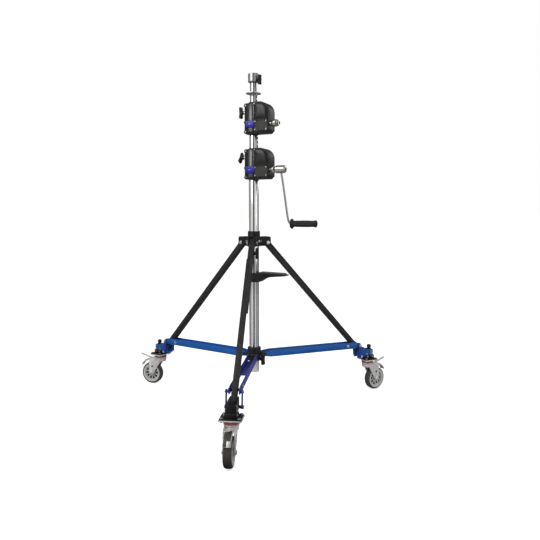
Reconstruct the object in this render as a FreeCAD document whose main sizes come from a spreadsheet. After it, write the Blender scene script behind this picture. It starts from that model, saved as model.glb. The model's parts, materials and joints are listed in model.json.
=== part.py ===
import FreeCAD, Part
import math
import os
import re
from types import SimpleNamespace

import Sketcher
from FreeCAD import Placement, Rotation, Vector

# Wind-up lighting stand: three telescopic tubes raised by two crank gearboxes,
# on a folding tripod with braked casters.  Millimetres.  +Z up, origin on the floor
# on the column axis, +X along the crank shafts.

DIMS = {
    # column tubes
    "outer_radius": 25.0, "outer_wall": 2.5, "outer_bottom": 184.0, "outer_top": 1211.0,
    "middle_radius": 21.5, "middle_wall": 2.5, "middle_bottom": 200.0, "middle_top": 1432.0,
    "top_radius": 17.75, "top_wall": 2.0, "top_bottom": 212.0, "top_top": 1629.0,
    # punched drive slots
    "slot_pitch": 20.0, "slot_height": 12.0, "slot_width": 9.0,
    "middle_slot_first": 358.0, "middle_slots": 52.0,
    "top_slot_first": 459.0, "top_slots": 56.0,
    # head
    "flange_radius": 38.0, "flange_thick": 3.0, "flange_level": 1574.0,
    "socket_radius": 27.0, "socket_top": 1670.0, "socket_bore": 14.4, "socket_depth": 62.0,
    "spigot_radius": 15.7, "spigot_bottom": 1598.0, "head_knob_level": 1636.0,
    "head_knob_azimuth": -20.0,
    # gearboxes, measured from the crank axis
    "lower_crank": 1201.0, "upper_crank": 1422.0,
    "case_front": 34.0, "case_back": 34.0, "case_right": 99.0, "case_low": 43.0,
    "case_high": 107.0, "arc_centre": 47.0, "arc_radius": 52.0, "arc_level": 55.0,
    "wall_thick": 7.0, "clamp_radius": 38.0, "clamp_low": 43.0, "clamp_high": 103.0,
    "corner_cut": 14.0, "cover_thick": 3.0, "fit_gap": 0.05, "seat_gap": 0.02,
    "worm_cover_left": 20.0, "worm_cover_width": 72.0, "worm_cover_low": 33.0,
    "worm_cover_height": 50.0, "pit_left": 9.0, "pit_low": 8.0, "worm_pit_left": 21.0,
    "worm_pit_right": 86.0, "worm_pit_low": 17.0, "screw_radius": 4.2, "screw_height": 3.0,
    # drive
    "sprocket_level": 37.0, "sprocket_teeth": 7.0, "sprocket_root": 14.0,
    "sprocket_tip": 23.8, "sprocket_width": 5.0, "wheel_teeth": 24.0, "wheel_pitch": 28.0,
    "wheel_root": 25.6, "wheel_tip": 29.6, "wheel_width": 6.5, "wheel_offset": -21.25,
    "worm_pitch": 9.0, "worm_root": 6.6, "worm_tip": 10.4, "shaft_radius": 6.0,
    "worm_offset": -21.0, "shaft_left": 22.0,
    # crank
    "hub_start": 100.0, "hub_base": 18.5, "hub_nose": 7.75, "hub_end": 150.0,
    "hub_socket": 5.0, "hub_socket_depth": 22.0, "short_hub_end": 134.0,
    "boss_radius": 19.0, "boss_end": 184.0, "rod_radius": 5.0, "rod_start": 172.0,
    "rod_end": 207.0, "crank_throw": 262.0, "grip_start": 213.5, "grip_end": 345.0,
    "grip_flange": 25.0, "grip_flange_thick": 8.0, "grip_radius": 16.0, "grip_lip": 18.0,
    # knobs
    "knob_span": 56.0, "knob_depth": 13.0, "knob_height": 24.0, "knob_stem": 5.0,
    "case_knob_level": 65.0, "case_knob_reach": 64.0,
    # tripod
    "front_azimuth": -70.0, "right_azimuth": 50.0, "left_azimuth": 170.0,
    "pivot_reach": 68.0, "pivot_level": 843.0, "foot_pin_reach": 638.898,
    "brace_pin_reach": 597.0, "brace_pin_level": 266.0,
    "leg_width": 28.0, "leg_wall": 2.0, "leg_end": 15.0, "foot_pin_beyond": 62.0,
    "lower_leg_width": 25.0, "upper_leg_length": 395.0, "lower_leg_start": 125.0,
    "pin_radius": 5.0,
    # leg collar
    "collar_radius": 31.0, "collar_top": 901.0, "collar_bottom": 826.0, "ear_top": 874.0,
    "ear_half": 21.0, "ear_reach": 84.0, "ear_slot": 45.0, "ear_slot_half": 14.3,
    "level_knob_down": 62.0,
    # side shelf
    "shelf_low": 646.0, "shelf_high": 692.0, "shelf_reach": 180.0, "shelf_half": 28.0,
    "shelf_radius": 33.0, "shelf_tip": 8.0,
    # brace collar and braces
    "ring_radius": 34.0, "ring_low": 243.0, "ring_high": 309.0, "ring_bore": 25.08,
    "lug_reach": 46.0, "lug_level": 272.0, "lug_round": 11.0, "lug_half": 20.0,
    "flange_in": 20.5, "flange_out": 23.0, "brace_half": 17.0, "brace_tail": 20.0,
    "brace_tail_round": 12.5, "web_thick": 2.5, "web_start": 42.0, "web_full": 290.0,
    "web_slot_half": 15.4, "web_lips": 395.0, "rivet_radius": 7.0, "rivet_out": 29.0,
    "spacer_out": 30.2,
    # foot
    "cheek_in": 14.6, "cheek_out": 19.4, "cheek_left": 610.0, "cheek_right": 669.0,
    "cheek_low": 194.0, "cheek_high": 243.0, "foot_pin_level": 220.3,
    "link_pin_reach": 625.0, "link_pin_level": 204.0, "link_in": 30.5, "link_out": 35.5,
    "link_half": 9.0, "block_left": 669.0, "block_right": 708.0, "block_half": 18.5,
    "block_low": 180.0, "block_high": 242.0, "bumper_radius": 12.5, "bumper_high": 266.0,
    "plate_length": 80.0, "plate_width": 95.0, "flange_length": 74.0, "flange_width": 88.0,
    "flange_top": 185.0, "bolt_reach": 30.0, "bolt_side": 36.0, "bolt_radius": 6.0,
    # caster
    "swivel_reach": 688.0, "trail": 54.0, "wheel_radius": 62.5, "tyre_inner": 46.0,
    "tyre_half": 18.0, "hub_half": 17.0, "axle_radius": 6.0, "crown_radius": 31.0,
    "crown_low": 136.0, "crown_high": 158.0, "race_high": 175.5, "king_radius": 8.0,
    "fork_in": 20.5, "fork_out": 24.5, "fork_eye": 14.0, "pedal_pin_reach": 44.0,
    "pedal_pin_level": 143.0, "pedal_pin_radius": 3.5, "pedal_half": 17.0, "pedal_eye": 6.5,
    "lever_half": 9.0,
    # how far each caster is turned from straight outwards
    "front_turn": 0.0, "right_turn": 9.0, "left_turn": 19.0,
}

d = SimpleNamespace(**DIMS)
Z_AXIS, Y_AXIS, X_AXIS = Vector(0, 0, 1), Vector(0, 1, 0), Vector(1, 0, 0)
ALONG_X = Rotation(Y_AXIS, 90)
ALONG_Y = Rotation(X_AXIS, -90)
CORNERS = 0.5

doc = FreeCAD.newDocument("lighting_stand")
sheet = doc.addObject("Spreadsheet::Sheet", "dims")
for number, (alias, size) in enumerate(DIMS.items(), start=1):
    sheet.set(f"A{number}", alias)
    sheet.set(f"B{number}", str(size))
    sheet.setAlias(f"B{number}", alias)
doc.recompute()

finished = []


def cells(text):
    """Turn plain alias names in an expression into references to the sheet."""
    return re.sub(r"[a-z][a-z_]+", lambda m: f"dims.{m[0]}" if m[0] in DIMS else m[0], str(text))


def solid(kind, name, sizes, at=(0, 0, 0), turn=None):
    """A Part primitive whose sizes and position are expressions on the sheet."""
    item = doc.addObject(f"Part::{kind}", name)
    if turn is not None:
        item.Placement = Placement(Vector(), turn)
    for prop, text in sizes.items():
        item.setExpression(prop, cells(text))
    for axis, text in zip("xyz", at):
        if text != 0:
            item.setExpression(f"Placement.Base.{axis}", cells(text))
    return item


def box(name, size, at):
    return solid("Box", name, dict(zip(("Length", "Width", "Height"), size)), at)


def rod(name, radius, length, at, turn=None):
    return solid("Cylinder", name, {"Radius": radius, "Height": length}, at, turn)


def cone(name, start, end, length, at, turn=None):
    return solid("Cone", name, {"Radius1": start, "Radius2": end, "Height": length}, at, turn)


def fuse(name, pieces):
    item = doc.addObject("Part::MultiFuse", name)
    item.Shapes = pieces
    return item


def cut(name, base, tools):
    item = doc.addObject("Part::Cut", name)
    item.Base = base
    item.Tool = tools[0] if len(tools) == 1 else fuse(f"{name}_tools", tools)
    return item


def common(name, first, second):
    item = doc.addObject("Part::Common", name)
    item.Base, item.Tool = first, second
    return item


def group(name, pieces):
    """Identical loose pieces that share one node."""
    item = doc.addObject("Part::Compound", name)
    item.Links = pieces
    return item


def is_upright(edge):
    """True for an edge that runs straight up."""
    bounds = edge.BoundBox
    return bounds.XLength < CORNERS and bounds.YLength < CORNERS


def placed(item, place):
    """The same piece carried to another place, for use inside a larger one."""
    holder = doc.addObject("Part::Compound", f"{item.Name}_placed")
    holder.Links = [item]
    holder.Placement = place
    return holder


def rounded(name, base, radius, wanted):
    """Fillet the edges of a recomputed solid that the test picks out."""
    doc.recompute()
    item = doc.addObject("Part::Fillet", name)
    item.Base = base
    item.Edges = [(i, radius, radius) for i, e in enumerate(base.Shape.Edges, start=1) if wanted(e)]
    return item


def keep(item, label, place=None):
    """Name a finished sub-part, turn it to its place and put it on the export list."""
    if place is not None:
        item.Placement = place
    item.Label = label
    finished.append(item)
    return item


def in_leg_plane(azimuth, reach=0.0, level=0.0, tilt=0.0):
    """Placement of a piece modelled about its own pivot in a leg's upright plane."""
    around = Placement(Vector(), Rotation(Z_AXIS, azimuth))
    return around.multiply(Placement(Vector(reach, 0, level), Rotation(Y_AXIS, tilt)))


def plate(name, outline, start, thick):
    """A flat plate: a closed outline of (x, z) corners, extruded along Y from start."""
    sketch = doc.addObject("Sketcher::SketchObject", f"{name}_outline")
    sketch.Placement = Placement(Vector(0, start, 0), Rotation(X_AXIS, 90))
    corners = [Vector(x, z, 0) for x, z in outline]
    for here, after in zip(corners, corners[1:] + corners[:1]):
        sketch.addGeometry(Part.LineSegment(here, after), False)
    item = doc.addObject("Part::Extrusion", name)
    item.Base = sketch
    item.DirMode = "Custom"
    item.Dir = Y_AXIS
    item.LengthFwd = thick
    item.Solid = True
    return item


def origin_plane(body, role):
    return next(f for f in body.Origin.OriginFeatures if f.Role == role)


def sketch_on(body, role, name):
    sketch = body.newObject("Sketcher::SketchObject", name)
    sketch.AttachmentSupport = [(origin_plane(body, role), "")]
    sketch.MapMode = "FlatFace"
    return sketch


def closed_outline(sketch, corners):
    points = [Vector(x, y, 0) for x, y in corners]
    for here, after in zip(points, points[1:] + points[:1]):
        sketch.addGeometry(Part.LineSegment(here, after), False)


def slotted_tube(label, radius, wall, bottom, top, first_slot, slots):
    """A riser: a round tube with a row of punched slots on its +X side."""
    body = doc.addObject("PartDesign::Body", label)
    ring = sketch_on(body, "XY_Plane", f"{label}_ring")
    for factor, alias in ((0, radius), (-1, radius)):
        index = ring.addGeometry(Part.Circle(Vector(), Z_AXIS, DIMS[alias] + factor * DIMS[wall]))
        ring.addConstraint(Sketcher.Constraint("Coincident", index, 3, -1, 1))
        number = ring.addConstraint(Sketcher.Constraint("Radius", index, DIMS[alias]))
        less = f" - dims.{wall}" if factor else ""
        ring.setExpression(f"Constraints[{number}]", f"dims.{alias}{less}")
    ring.AttachmentOffset.Base.z = DIMS[bottom]
    ring.setExpression("AttachmentOffset.Base.z", f"dims.{bottom}")
    wall_pad = body.newObject("PartDesign::Pad", f"{label}_wall")
    wall_pad.Profile = ring
    wall_pad.setExpression("Length", f"dims.{top} - dims.{bottom}")
    doc.recompute()
    solid_volume = wall_pad.Shape.Volume
    slot = sketch_on(body, "YZ_Plane", f"{label}_slot")
    half, low = d.slot_width / 2, DIMS[first_slot] - d.slot_height / 2
    closed_outline(slot, [(-half, low), (half, low), (half, low + d.slot_height),
                          (-half, low + d.slot_height)])
    punch = body.newObject("PartDesign::Pocket", f"{label}_punch")
    punch.Profile = slot
    punch.Reversed = True
    punch.setExpression("Length", f"2 * dims.{radius}")
    doc.recompute()
    if not punch.Shape.Volume < solid_volume or punch.Shape.BoundBox.XMax < DIMS[radius] - CORNERS:
        raise RuntimeError(f"{label}: the slot cut nothing")
    row = body.newObject("PartDesign::LinearPattern", f"{label}_row")
    row.Originals = [punch]
    row.Direction = (origin_plane(body, "Z_Axis"), [""])
    row.setExpression("Occurrences", f"dims.{slots}")
    row.setExpression("Length", f"(dims.{slots} - 1) * dims.slot_pitch")
    body.Tip = row
    return body


def toothed_disc(name, root, tip, root_width, tip_width, teeth, first_angle, width):
    """A toothed disc about its own centre, axis along Y, first tooth at first_angle."""
    body = doc.addObject("PartDesign::Body", name)
    disc = sketch_on(body, "XZ_Plane", f"{name}_disc")
    disc.addGeometry(Part.Circle(Vector(), Z_AXIS, root))
    core = body.newObject("PartDesign::Pad", f"{name}_core")
    core.Profile = disc
    core.Midplane = True
    core.setExpression("Length", f"dims.{width}")
    tooth = sketch_on(body, "XZ_Plane", f"{name}_tooth")
    along = Vector(math.cos(math.radians(first_angle)), math.sin(math.radians(first_angle)), 0)
    across = Vector(-along.y, along.x, 0)
    foot = root - 1.0
    flank = [along * foot - across * root_width, along * tip - across * tip_width,
             along * tip + across * tip_width, along * foot + across * root_width]
    closed_outline(tooth, [(p.x, p.y) for p in flank])
    spur = body.newObject("PartDesign::Pad", f"{name}_spur")
    spur.Profile = tooth
    spur.Midplane = True
    spur.setExpression("Length", f"dims.{width}")
    ring = body.newObject("PartDesign::PolarPattern", f"{name}_ring")
    ring.Originals = [spur]
    ring.Axis = (origin_plane(body, "Y_Axis"), [""])
    ring.Angle = 360
    ring.Occurrences = int(teeth)
    body.Tip = ring
    return body


def t_knob(name, label, reach, place, hand=0.0):
    """A wing knob: stem along +X from the origin, wings at the far end of reach."""
    wing = box(f"{name}_wing", ("knob_depth", "knob_height", "knob_span"),
               (reach, "-knob_height / 2", "-knob_span / 2"))
    soft = rounded(f"{name}_soft", wing, 5.5, lambda e: e.Length > 1)
    neck = rod(f"{name}_neck", "knob_stem * 1.8", 10, (f"{reach} - 8", 0, 0), ALONG_X)
    stem = rod(f"{name}_stem", "knob_stem", reach, (0, 0, 0), ALONG_X)
    turned = place.multiply(Placement(Vector(), Rotation(X_AXIS, hand)))
    return keep(fuse(name, [soft, neck, stem]), label, turned)


def column():
    """The fixed outer tube, its leg collar and the side shelf."""
    skin = rod("outer_skin", "outer_radius", "outer_top - outer_bottom", (0, 0, "outer_bottom"))
    hollow = rod("outer_hollow", "outer_radius - outer_wall", "outer_top - outer_bottom + 2",
                 (0, 0, "outer_bottom - 1"))
    keep(cut("outer_tube_cut", skin, [hollow]), "outer_tube")
    leg_collar()
    side_shelf()


def leg_collar():
    """Cast collar that carries the three leg pivots."""
    pieces = [rod("collar_sleeve", "collar_radius", "collar_top - collar_bottom",
                  (0, 0, "collar_bottom")),
              rod("collar_skirt", "collar_radius + 7", "ear_top - collar_bottom",
                  (0, 0, "collar_bottom"))]
    tools = [rod("collar_bore", "outer_radius + seat_gap", 200, (0, 0, "collar_bottom - 50"))]
    bolts = []
    for side, azimuth in AZIMUTHS.items():
        ear = box(f"ear_{side}", ("ear_reach - 18", "2 * ear_half", "ear_top - collar_bottom"),
                  (18, "-ear_half", "collar_bottom"))
        ear = rounded(f"ear_round_{side}", ear, 9.0,
                      lambda e: e.BoundBox.XMin > d.ear_reach - 1 and e.BoundBox.YLength > 30)
        slot = box(f"ear_slot_{side}", (80, "2 * ear_slot_half", 80),
                   ("ear_slot", "-ear_slot_half", "collar_bottom - 10"))
        hole = rod(f"ear_hole_{side}", "pin_radius + seat_gap", 80,
                   ("pivot_reach", -40, "pivot_level"), ALONG_Y)
        turn = in_leg_plane(azimuth)
        for made, wanted in ((ear, pieces), (slot, tools), (hole, tools)):
            wanted.append(placed(made, turn))
        shank = rod(f"pivot_shank_{side}", "pin_radius", "2 * ear_half + 8",
                    ("pivot_reach", "-ear_half - 4", "pivot_level"), ALONG_Y)
        heads = [rod(f"pivot_head_{side}_{n}", "pin_radius + 3", 5, ("pivot_reach", y, "pivot_level"),
                     ALONG_Y) for n, y in enumerate(("ear_half + seat_gap", "-ear_half - 5 - seat_gap"))]
        bolt = fuse(f"pivot_bolt_{side}", [shank] + heads)
        bolt.Placement = turn
        bolts.append(bolt)
    keep(cut("leg_collar_cut", fuse("leg_collar_body", pieces), tools), "leg_collar")
    keep(group("leg_pivot_group", bolts), "leg_pivot_bolts")


def side_shelf():
    """Clamp-on shelf whose tapered tray points along +X."""
    top, low, tip = d.shelf_high, d.shelf_low, d.shelf_high - d.shelf_tip - 2
    tray = plate("shelf_tray", [(0, low), (d.shelf_radius, low), (58, low + 16), (95, low + 28),
                                (d.shelf_reach, tip), (d.shelf_reach, top - 4), (0, top)],
                 -d.shelf_half, 2 * d.shelf_half)
    sleeve = rod("shelf_sleeve", "shelf_radius", "shelf_high - shelf_low", (0, 0, "shelf_low"))
    bore = rod("shelf_bore", "outer_radius + seat_gap", 200, (0, 0, "shelf_low - 50"))
    keep(cut("side_shelf_cut", fuse("side_shelf_body", [tray, sleeve]), [bore]), "side_shelf")


# (x, height above the crank axis, distance in front of the case) of each screw head's seat:
# top seam, the four corners of the worm cover, then the clamp's edge
CASE_SCREWS = [(21.5, 98, 0), (27, 12, 3.2), (27, -27, 3.2), (87, 12, 3.2), (87, -27, 3.2),
               (-27, 93, -2), (-27, 12, -2), (-27, -34, -2)]


def case_parts(prefix, level, tube_radius, riser_radius, wheel_centre):
    """One crank gearbox case with its covers, badge and screws."""
    z = f"{level} + "
    drum = rod(f"{prefix}_drum", "arc_radius", "case_front + case_back",
               ("arc_centre", "-case_front", z + "arc_level"), ALONG_Y)
    fill = box(f"{prefix}_fill", ("case_right", "case_front + case_back", "arc_level + case_low"),
               (0, "-case_front", f"{level} - case_low"))
    neck = box(f"{prefix}_neck", ("arc_centre", "case_front + case_back", "case_high - arc_level"),
               (0, "-case_front", z + "arc_level"))
    clamp = rod(f"{prefix}_clamp", "clamp_radius", "clamp_low + clamp_high",
                (0, 0, f"{level} - clamp_low"))
    cheek = box(f"{prefix}_cheek", ("clamp_radius", "case_front + case_back - 2", "clamp_low + clamp_high"),
                ("-clamp_radius + 4", "-case_front + 2", f"{level} - clamp_low"))
    corner = box(f"{prefix}_corner", (60, 100, 60), (0, -50, -60))
    corner = placed(corner, Placement(
        Vector(d.case_right - d.corner_cut, 0, DIMS[level] - d.case_low), Rotation(Y_AXIS, -45)))
    bore_low = rod(f"{prefix}_bore_low", f"{tube_radius} + seat_gap", "clamp_low + 10.5 + 1",
                   (0, 0, f"{level} - clamp_low - 1"))
    bore_high = rod(f"{prefix}_bore_high", f"{riser_radius} + fit_gap + 0.01", 200, (0, 0, level))
    inner = d.arc_radius - d.wall_thick
    deep = "case_front + 11"
    dome = rod(f"{prefix}_dome", "arc_radius - wall_thick", deep,
               ("arc_centre", "-case_front - 1", z + "arc_level"), ALONG_Y)
    pit = box(f"{prefix}_pit", ("case_right - wall_thick - pit_left", deep, "arc_level"),
              ("pit_left", "-case_front - 1", z + "pit_low"))
    worm_pit = box(f"{prefix}_worm_pit", ("worm_pit_right - worm_pit_left", deep, "worm_pit_low + pit_low + 1"),
                   ("worm_pit_left", "-case_front - 1", f"{level} - worm_pit_low"))
    front_shaft = rod(f"{prefix}_shaft_seat", "shaft_radius + fit_gap", "case_back - 3",
                      (wheel_centre, 0, z + "sprocket_level"), ALONG_Y)
    worm_bore = rod(f"{prefix}_worm_bore", "shaft_radius + fit_gap", 200,
                    ("shaft_left - 0.5", "worm_offset", level), ALONG_X)
    knob_bore = rod(f"{prefix}_knob_bore", "knob_stem + fit_gap", 60,
                    (-60, 0, z + "case_knob_level"), ALONG_X)
    shell = cut(f"{prefix}_case_cut", fuse(f"{prefix}_case_body", [drum, fill, neck, clamp, cheek]),
                [corner, bore_low, bore_high, dome, pit, worm_pit, front_shaft, worm_bore, knob_bore])
    keep(shell, f"{prefix}_gear_case")
    lid = rod(f"{prefix}_lid_disc", "arc_radius - wall_thick - 0.3", "cover_thick",
              ("arc_centre", "-case_front", z + "arc_level"), ALONG_Y)
    play = 0.3
    lid_skirt = box(f"{prefix}_lid_skirt",
                    (d.arc_centre + inner - d.pit_left - 2 * play, "cover_thick", f"arc_level - pit_low - {play}"),
                    (d.pit_left + play, "-case_front", z + f"pit_low + {play}"))
    dome_radius, dome_rise, dome_drop = 120, 8, 6
    bulge = solid("Sphere", f"{prefix}_bulge", {"Radius": dome_radius},
                  ("arc_centre", f"-case_front + {dome_radius - dome_rise}", z + f"arc_level - {dome_drop}"))
    slab = rod(f"{prefix}_bulge_slab", "arc_radius - wall_thick - 15", 12,
               ("arc_centre", "-case_front - 10", z + f"arc_level - {dome_drop}"), ALONG_Y)
    crown = common(f"{prefix}_crown", bulge, slab)
    keep(fuse(f"{prefix}_lid", [lid, lid_skirt, crown]), f"{prefix}_gear_cover")
    flat = box(f"{prefix}_flat", ("worm_cover_width", "cover_thick", "worm_cover_height"),
               ("worm_cover_left", "-case_front - cover_thick - seat_gap", f"{level} - worm_cover_low"))
    keep(rounded(f"{prefix}_worm_lid", flat, 1.2, lambda e: e.BoundBox.YLength < CORNERS
                 and e.BoundBox.YMin < -d.case_front - d.cover_thick + CORNERS),
         f"{prefix}_worm_cover")
    screws = []
    for number, (x, up, seat) in enumerate(CASE_SCREWS):
        screws.append(rod(f"{prefix}_screw_{number}", "screw_radius", "screw_height",
                          (x, f"-case_front - {seat} - screw_height", z + str(up)), ALONG_Y))
    keep(group(f"{prefix}_screws", screws), f"{prefix}_case_bolts")


def worm_thread(name, wheel_centre, level):
    """Left-hand thread about the crank shaft, in mesh with the wheel above it."""
    lead = 2 * math.pi * d.wheel_pitch / d.wheel_teeth
    turns = 4
    helix = Part.makeHelix(lead, lead * turns, d.worm_pitch, 0, True)
    foot, crest = 1.5, 0.75
    inner = d.worm_root - 0.4
    profile = Part.makePolygon([Vector(inner, 0, -foot), Vector(d.worm_tip, 0, -crest),
                                Vector(d.worm_tip, 0, crest), Vector(inner, 0, foot),
                                Vector(inner, 0, -foot)])
    item = doc.addObject("Part::Feature", name)
    item.Shape = Part.Wire(helix.Edges).makePipeShell([Part.Wire(profile.Edges)], True, True)
    item.Placement = Placement(Vector(wheel_centre - lead * turns / 2, d.worm_offset, DIMS[level]),
                               Rotation(Vector(1, 0, 1), 180))
    return item


def drive(prefix, level, wheel_centre, shaft_end):
    """Sprocket on its shaft, worm wheel and worm shaft of one gearbox."""
    sprocket = toothed_disc(f"{prefix}_sprocket_disc", d.sprocket_root, d.sprocket_tip, 4.2, 1.8,
                            d.sprocket_teeth, 180.0, "sprocket_width")
    axle = rod(f"{prefix}_axle", "shaft_radius", "case_front + case_back - 8.5",
               (0, "-case_front + cover_thick + 1.5", 0), ALONG_Y)
    spot = Placement(Vector(wheel_centre, 0, DIMS[level] + d.sprocket_level), Rotation())
    keep(fuse(f"{prefix}_sprocket", [sprocket, axle]), f"{prefix}_drive_sprocket", spot)
    half_pitch = 180.0 / d.wheel_teeth
    wheel = toothed_disc(f"{prefix}_wheel_disc", d.wheel_root, d.wheel_tip, 1.75, 0.85,
                         d.wheel_teeth, -90.0 + half_pitch, "wheel_width")
    bore = rod(f"{prefix}_wheel_bore", "shaft_radius + seat_gap", 40, (0, -20, 0), ALONG_Y)
    keep(cut(f"{prefix}_worm_wheel_cut", wheel, [bore]), f"{prefix}_worm_wheel",
         spot.multiply(Placement(Vector(0, d.wheel_offset, 0), Rotation())))
    core_length = 34
    core = rod(f"{prefix}_worm_core", "worm_root", core_length,
               (wheel_centre - core_length / 2, "worm_offset", level), ALONG_X)
    shaft = rod(f"{prefix}_worm_spindle", "shaft_radius", f"{shaft_end} - shaft_left",
                ("shaft_left", "worm_offset", level), ALONG_X)
    thread = worm_thread(f"{prefix}_thread", wheel_centre, level)
    keep(fuse(f"{prefix}_worm_body", [core, shaft, thread]), f"{prefix}_worm_shaft")


def hubs():
    """Shaft ends outside the cases: a long empty hub above, a short one for the crank below."""
    flare = 15
    for prefix, end, nose in (("upper", "hub_end", "hub_nose"), ("lower", "short_hub_end", "hub_nose + 3")):
        level = f"{prefix}_crank"
        base = cone(f"{prefix}_hub_base", "hub_base - 5", "hub_base", flare,
                    ("hub_start", "worm_offset", level), ALONG_X)
        nose_cone = cone(f"{prefix}_hub_nose", "hub_base", nose, f"{end} - hub_start - {flare}",
                         (f"hub_start + {flare}", "worm_offset", level), ALONG_X)
        seat = rod(f"{prefix}_hub_seat", "shaft_radius + seat_gap", 26,
                   ("hub_start - 1", "worm_offset", level), ALONG_X)
        tools = [seat]
        if prefix == "upper":
            tools.append(rod("upper_hub_socket", "hub_socket", "hub_socket_depth + 1",
                             ("hub_end - hub_socket_depth", "worm_offset", level), ALONG_X))
        keep(cut(f"{prefix}_hub_cut", fuse(f"{prefix}_hub_body", [base, nose_cone]), tools),
             f"{prefix}_crank_hub")


def crank():
    """The crank: boss, bent rod with its spindle, and the turning grip."""
    level = "lower_crank"
    boss = rod("crank_boss", "boss_radius", "boss_end - short_hub_end - 0.1",
               ("short_hub_end + 0.1", "worm_offset", level), ALONG_X)
    boss = rounded("crank_boss_soft", boss, 6.0, lambda e: e.BoundBox.XLength < CORNERS)
    run, drop = d.rod_end - d.rod_start, d.crank_throw
    arm = rod("crank_rod", "rod_radius", math.hypot(run, drop), (0, 0, 0))
    arm.Placement = Placement(Vector(d.rod_start, d.worm_offset, d.lower_crank),
                              Rotation(Z_AXIS, Vector(run, 0, -drop)))
    elbow = solid("Sphere", "crank_elbow", {"Radius": "rod_radius"},
                  ("rod_end", "worm_offset", f"{level} - crank_throw"))
    spindle = rod("crank_spindle", "rod_radius", "grip_end - rod_end - 4",
                  ("rod_end", "worm_offset", f"{level} - crank_throw"), ALONG_X)
    keep(fuse("crank_body", [boss, arm, elbow, spindle]), "crank_arm")
    grip_level = f"{level} - crank_throw"
    lip_thick = 7
    pieces = [rod("grip_flange_disc", "grip_flange", "grip_flange_thick",
                  ("grip_start", "worm_offset", grip_level), ALONG_X),
              rod("grip_barrel", "grip_radius", "grip_end - grip_start",
                  ("grip_start", "worm_offset", grip_level), ALONG_X),
              rod("grip_end_lip", "grip_lip", lip_thick,
                  (f"grip_end - {lip_thick}", "worm_offset", grip_level), ALONG_X)]
    hole = rod("grip_hole", "rod_radius + fit_gap", "grip_end - grip_start - 2",
               ("grip_start - 1", "worm_offset", grip_level), ALONG_X)
    keep(cut("grip_cut", fuse("grip_body", pieces), [hole]), "crank_grip")


def risers():
    """Middle and top tubes, the stop flange and the mounting socket."""
    keep(slotted_tube("middle_tube", "middle_radius", "middle_wall", "middle_bottom", "middle_top",
                      "middle_slot_first", "middle_slots"), "middle_tube")
    keep(slotted_tube("top_tube", "top_radius", "top_wall", "top_bottom", "top_top",
                      "top_slot_first", "top_slots"), "top_tube")
    disc = rod("flange_disc", "flange_radius", "flange_thick", (0, 0, "flange_level"))
    disc_bore = rod("flange_bore", "top_radius + seat_gap", 20, (0, 0, "flange_level - 5"))
    keep(cut("flange_cut", disc, [disc_bore]), "stop_flange")
    head = rod("socket_head", "socket_radius", "socket_top - top_top", (0, 0, "top_top"))
    head = rounded("socket_head_soft", head, 2.0, lambda e: e.BoundBox.ZLength < CORNERS)
    spigot = rod("socket_spigot", "spigot_radius", "socket_top - spigot_bottom - 5",
                 (0, 0, "spigot_bottom"))
    bore = rod("socket_hole", "socket_bore", "socket_depth + 1", (0, 0, "socket_top - socket_depth"))
    screw_hole = rod("socket_screw_hole", "knob_stem + fit_gap", 60, (0, 0, "head_knob_level"), ALONG_X)
    screw_hole.Placement = Placement(Vector(0, 0, d.head_knob_level),
                                     Rotation(Z_AXIS, d.head_knob_azimuth) * ALONG_X)
    keep(cut("socket_cut", fuse("socket_body", [head, spigot]), [bore, screw_hole]), "top_socket")


def knobs():
    """The wing knobs: head socket, two riser locks, leg levelling and brace collar."""
    inset = d.socket_bore + 0.6
    place = Placement(Vector(), Rotation(Z_AXIS, d.head_knob_azimuth)).multiply(
        Placement(Vector(inset, 0, d.head_knob_level), Rotation()))
    t_knob("head_knob", "socket_lock_knob", 22, place)
    for prefix, radius, hand in (("upper", d.top_radius, 0.0), ("lower", d.middle_radius, 35.0)):
        level = DIMS[f"{prefix}_crank"] + d.case_knob_level
        start = radius + 1.0
        place = Placement(Vector(-start, 0, level), Rotation(Z_AXIS, 180))
        t_knob(f"{prefix}_lock", f"{prefix}_lock_knob", d.case_knob_reach - start, place, hand)


AZIMUTHS = {"front": d.front_azimuth, "right": d.right_azimuth, "left": d.left_azimuth}
LEG_LENGTH = math.hypot(d.brace_pin_reach - d.pivot_reach, d.pivot_level - d.brace_pin_level)
LEG_TILT = math.degrees(math.atan2(d.brace_pin_reach - d.pivot_reach,
                                   d.pivot_level - d.brace_pin_level))
BRACE_LENGTH = math.hypot(d.brace_pin_reach - d.lug_reach, d.lug_level - d.brace_pin_level)
BRACE_TILT = math.degrees(math.atan2(d.lug_level - d.brace_pin_level,
                                     d.brace_pin_reach - d.lug_reach))


def square_tube(name, width, start, end, offset=0.0):
    """Square tube hanging down -Z from start to end, its axis offset along +X."""
    outer = box(f"{name}_outer", (width, width, end - start), (offset - width / 2, -width / 2, -end))
    outer = rounded(f"{name}_soft", outer, 3.0, lambda e: e.BoundBox.ZLength > 50)
    bore = width - 2 * d.leg_wall
    inner = box(f"{name}_inner", (bore, bore, end - start + 2), (offset - bore / 2, -bore / 2, -end - 1))
    return outer, inner


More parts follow.
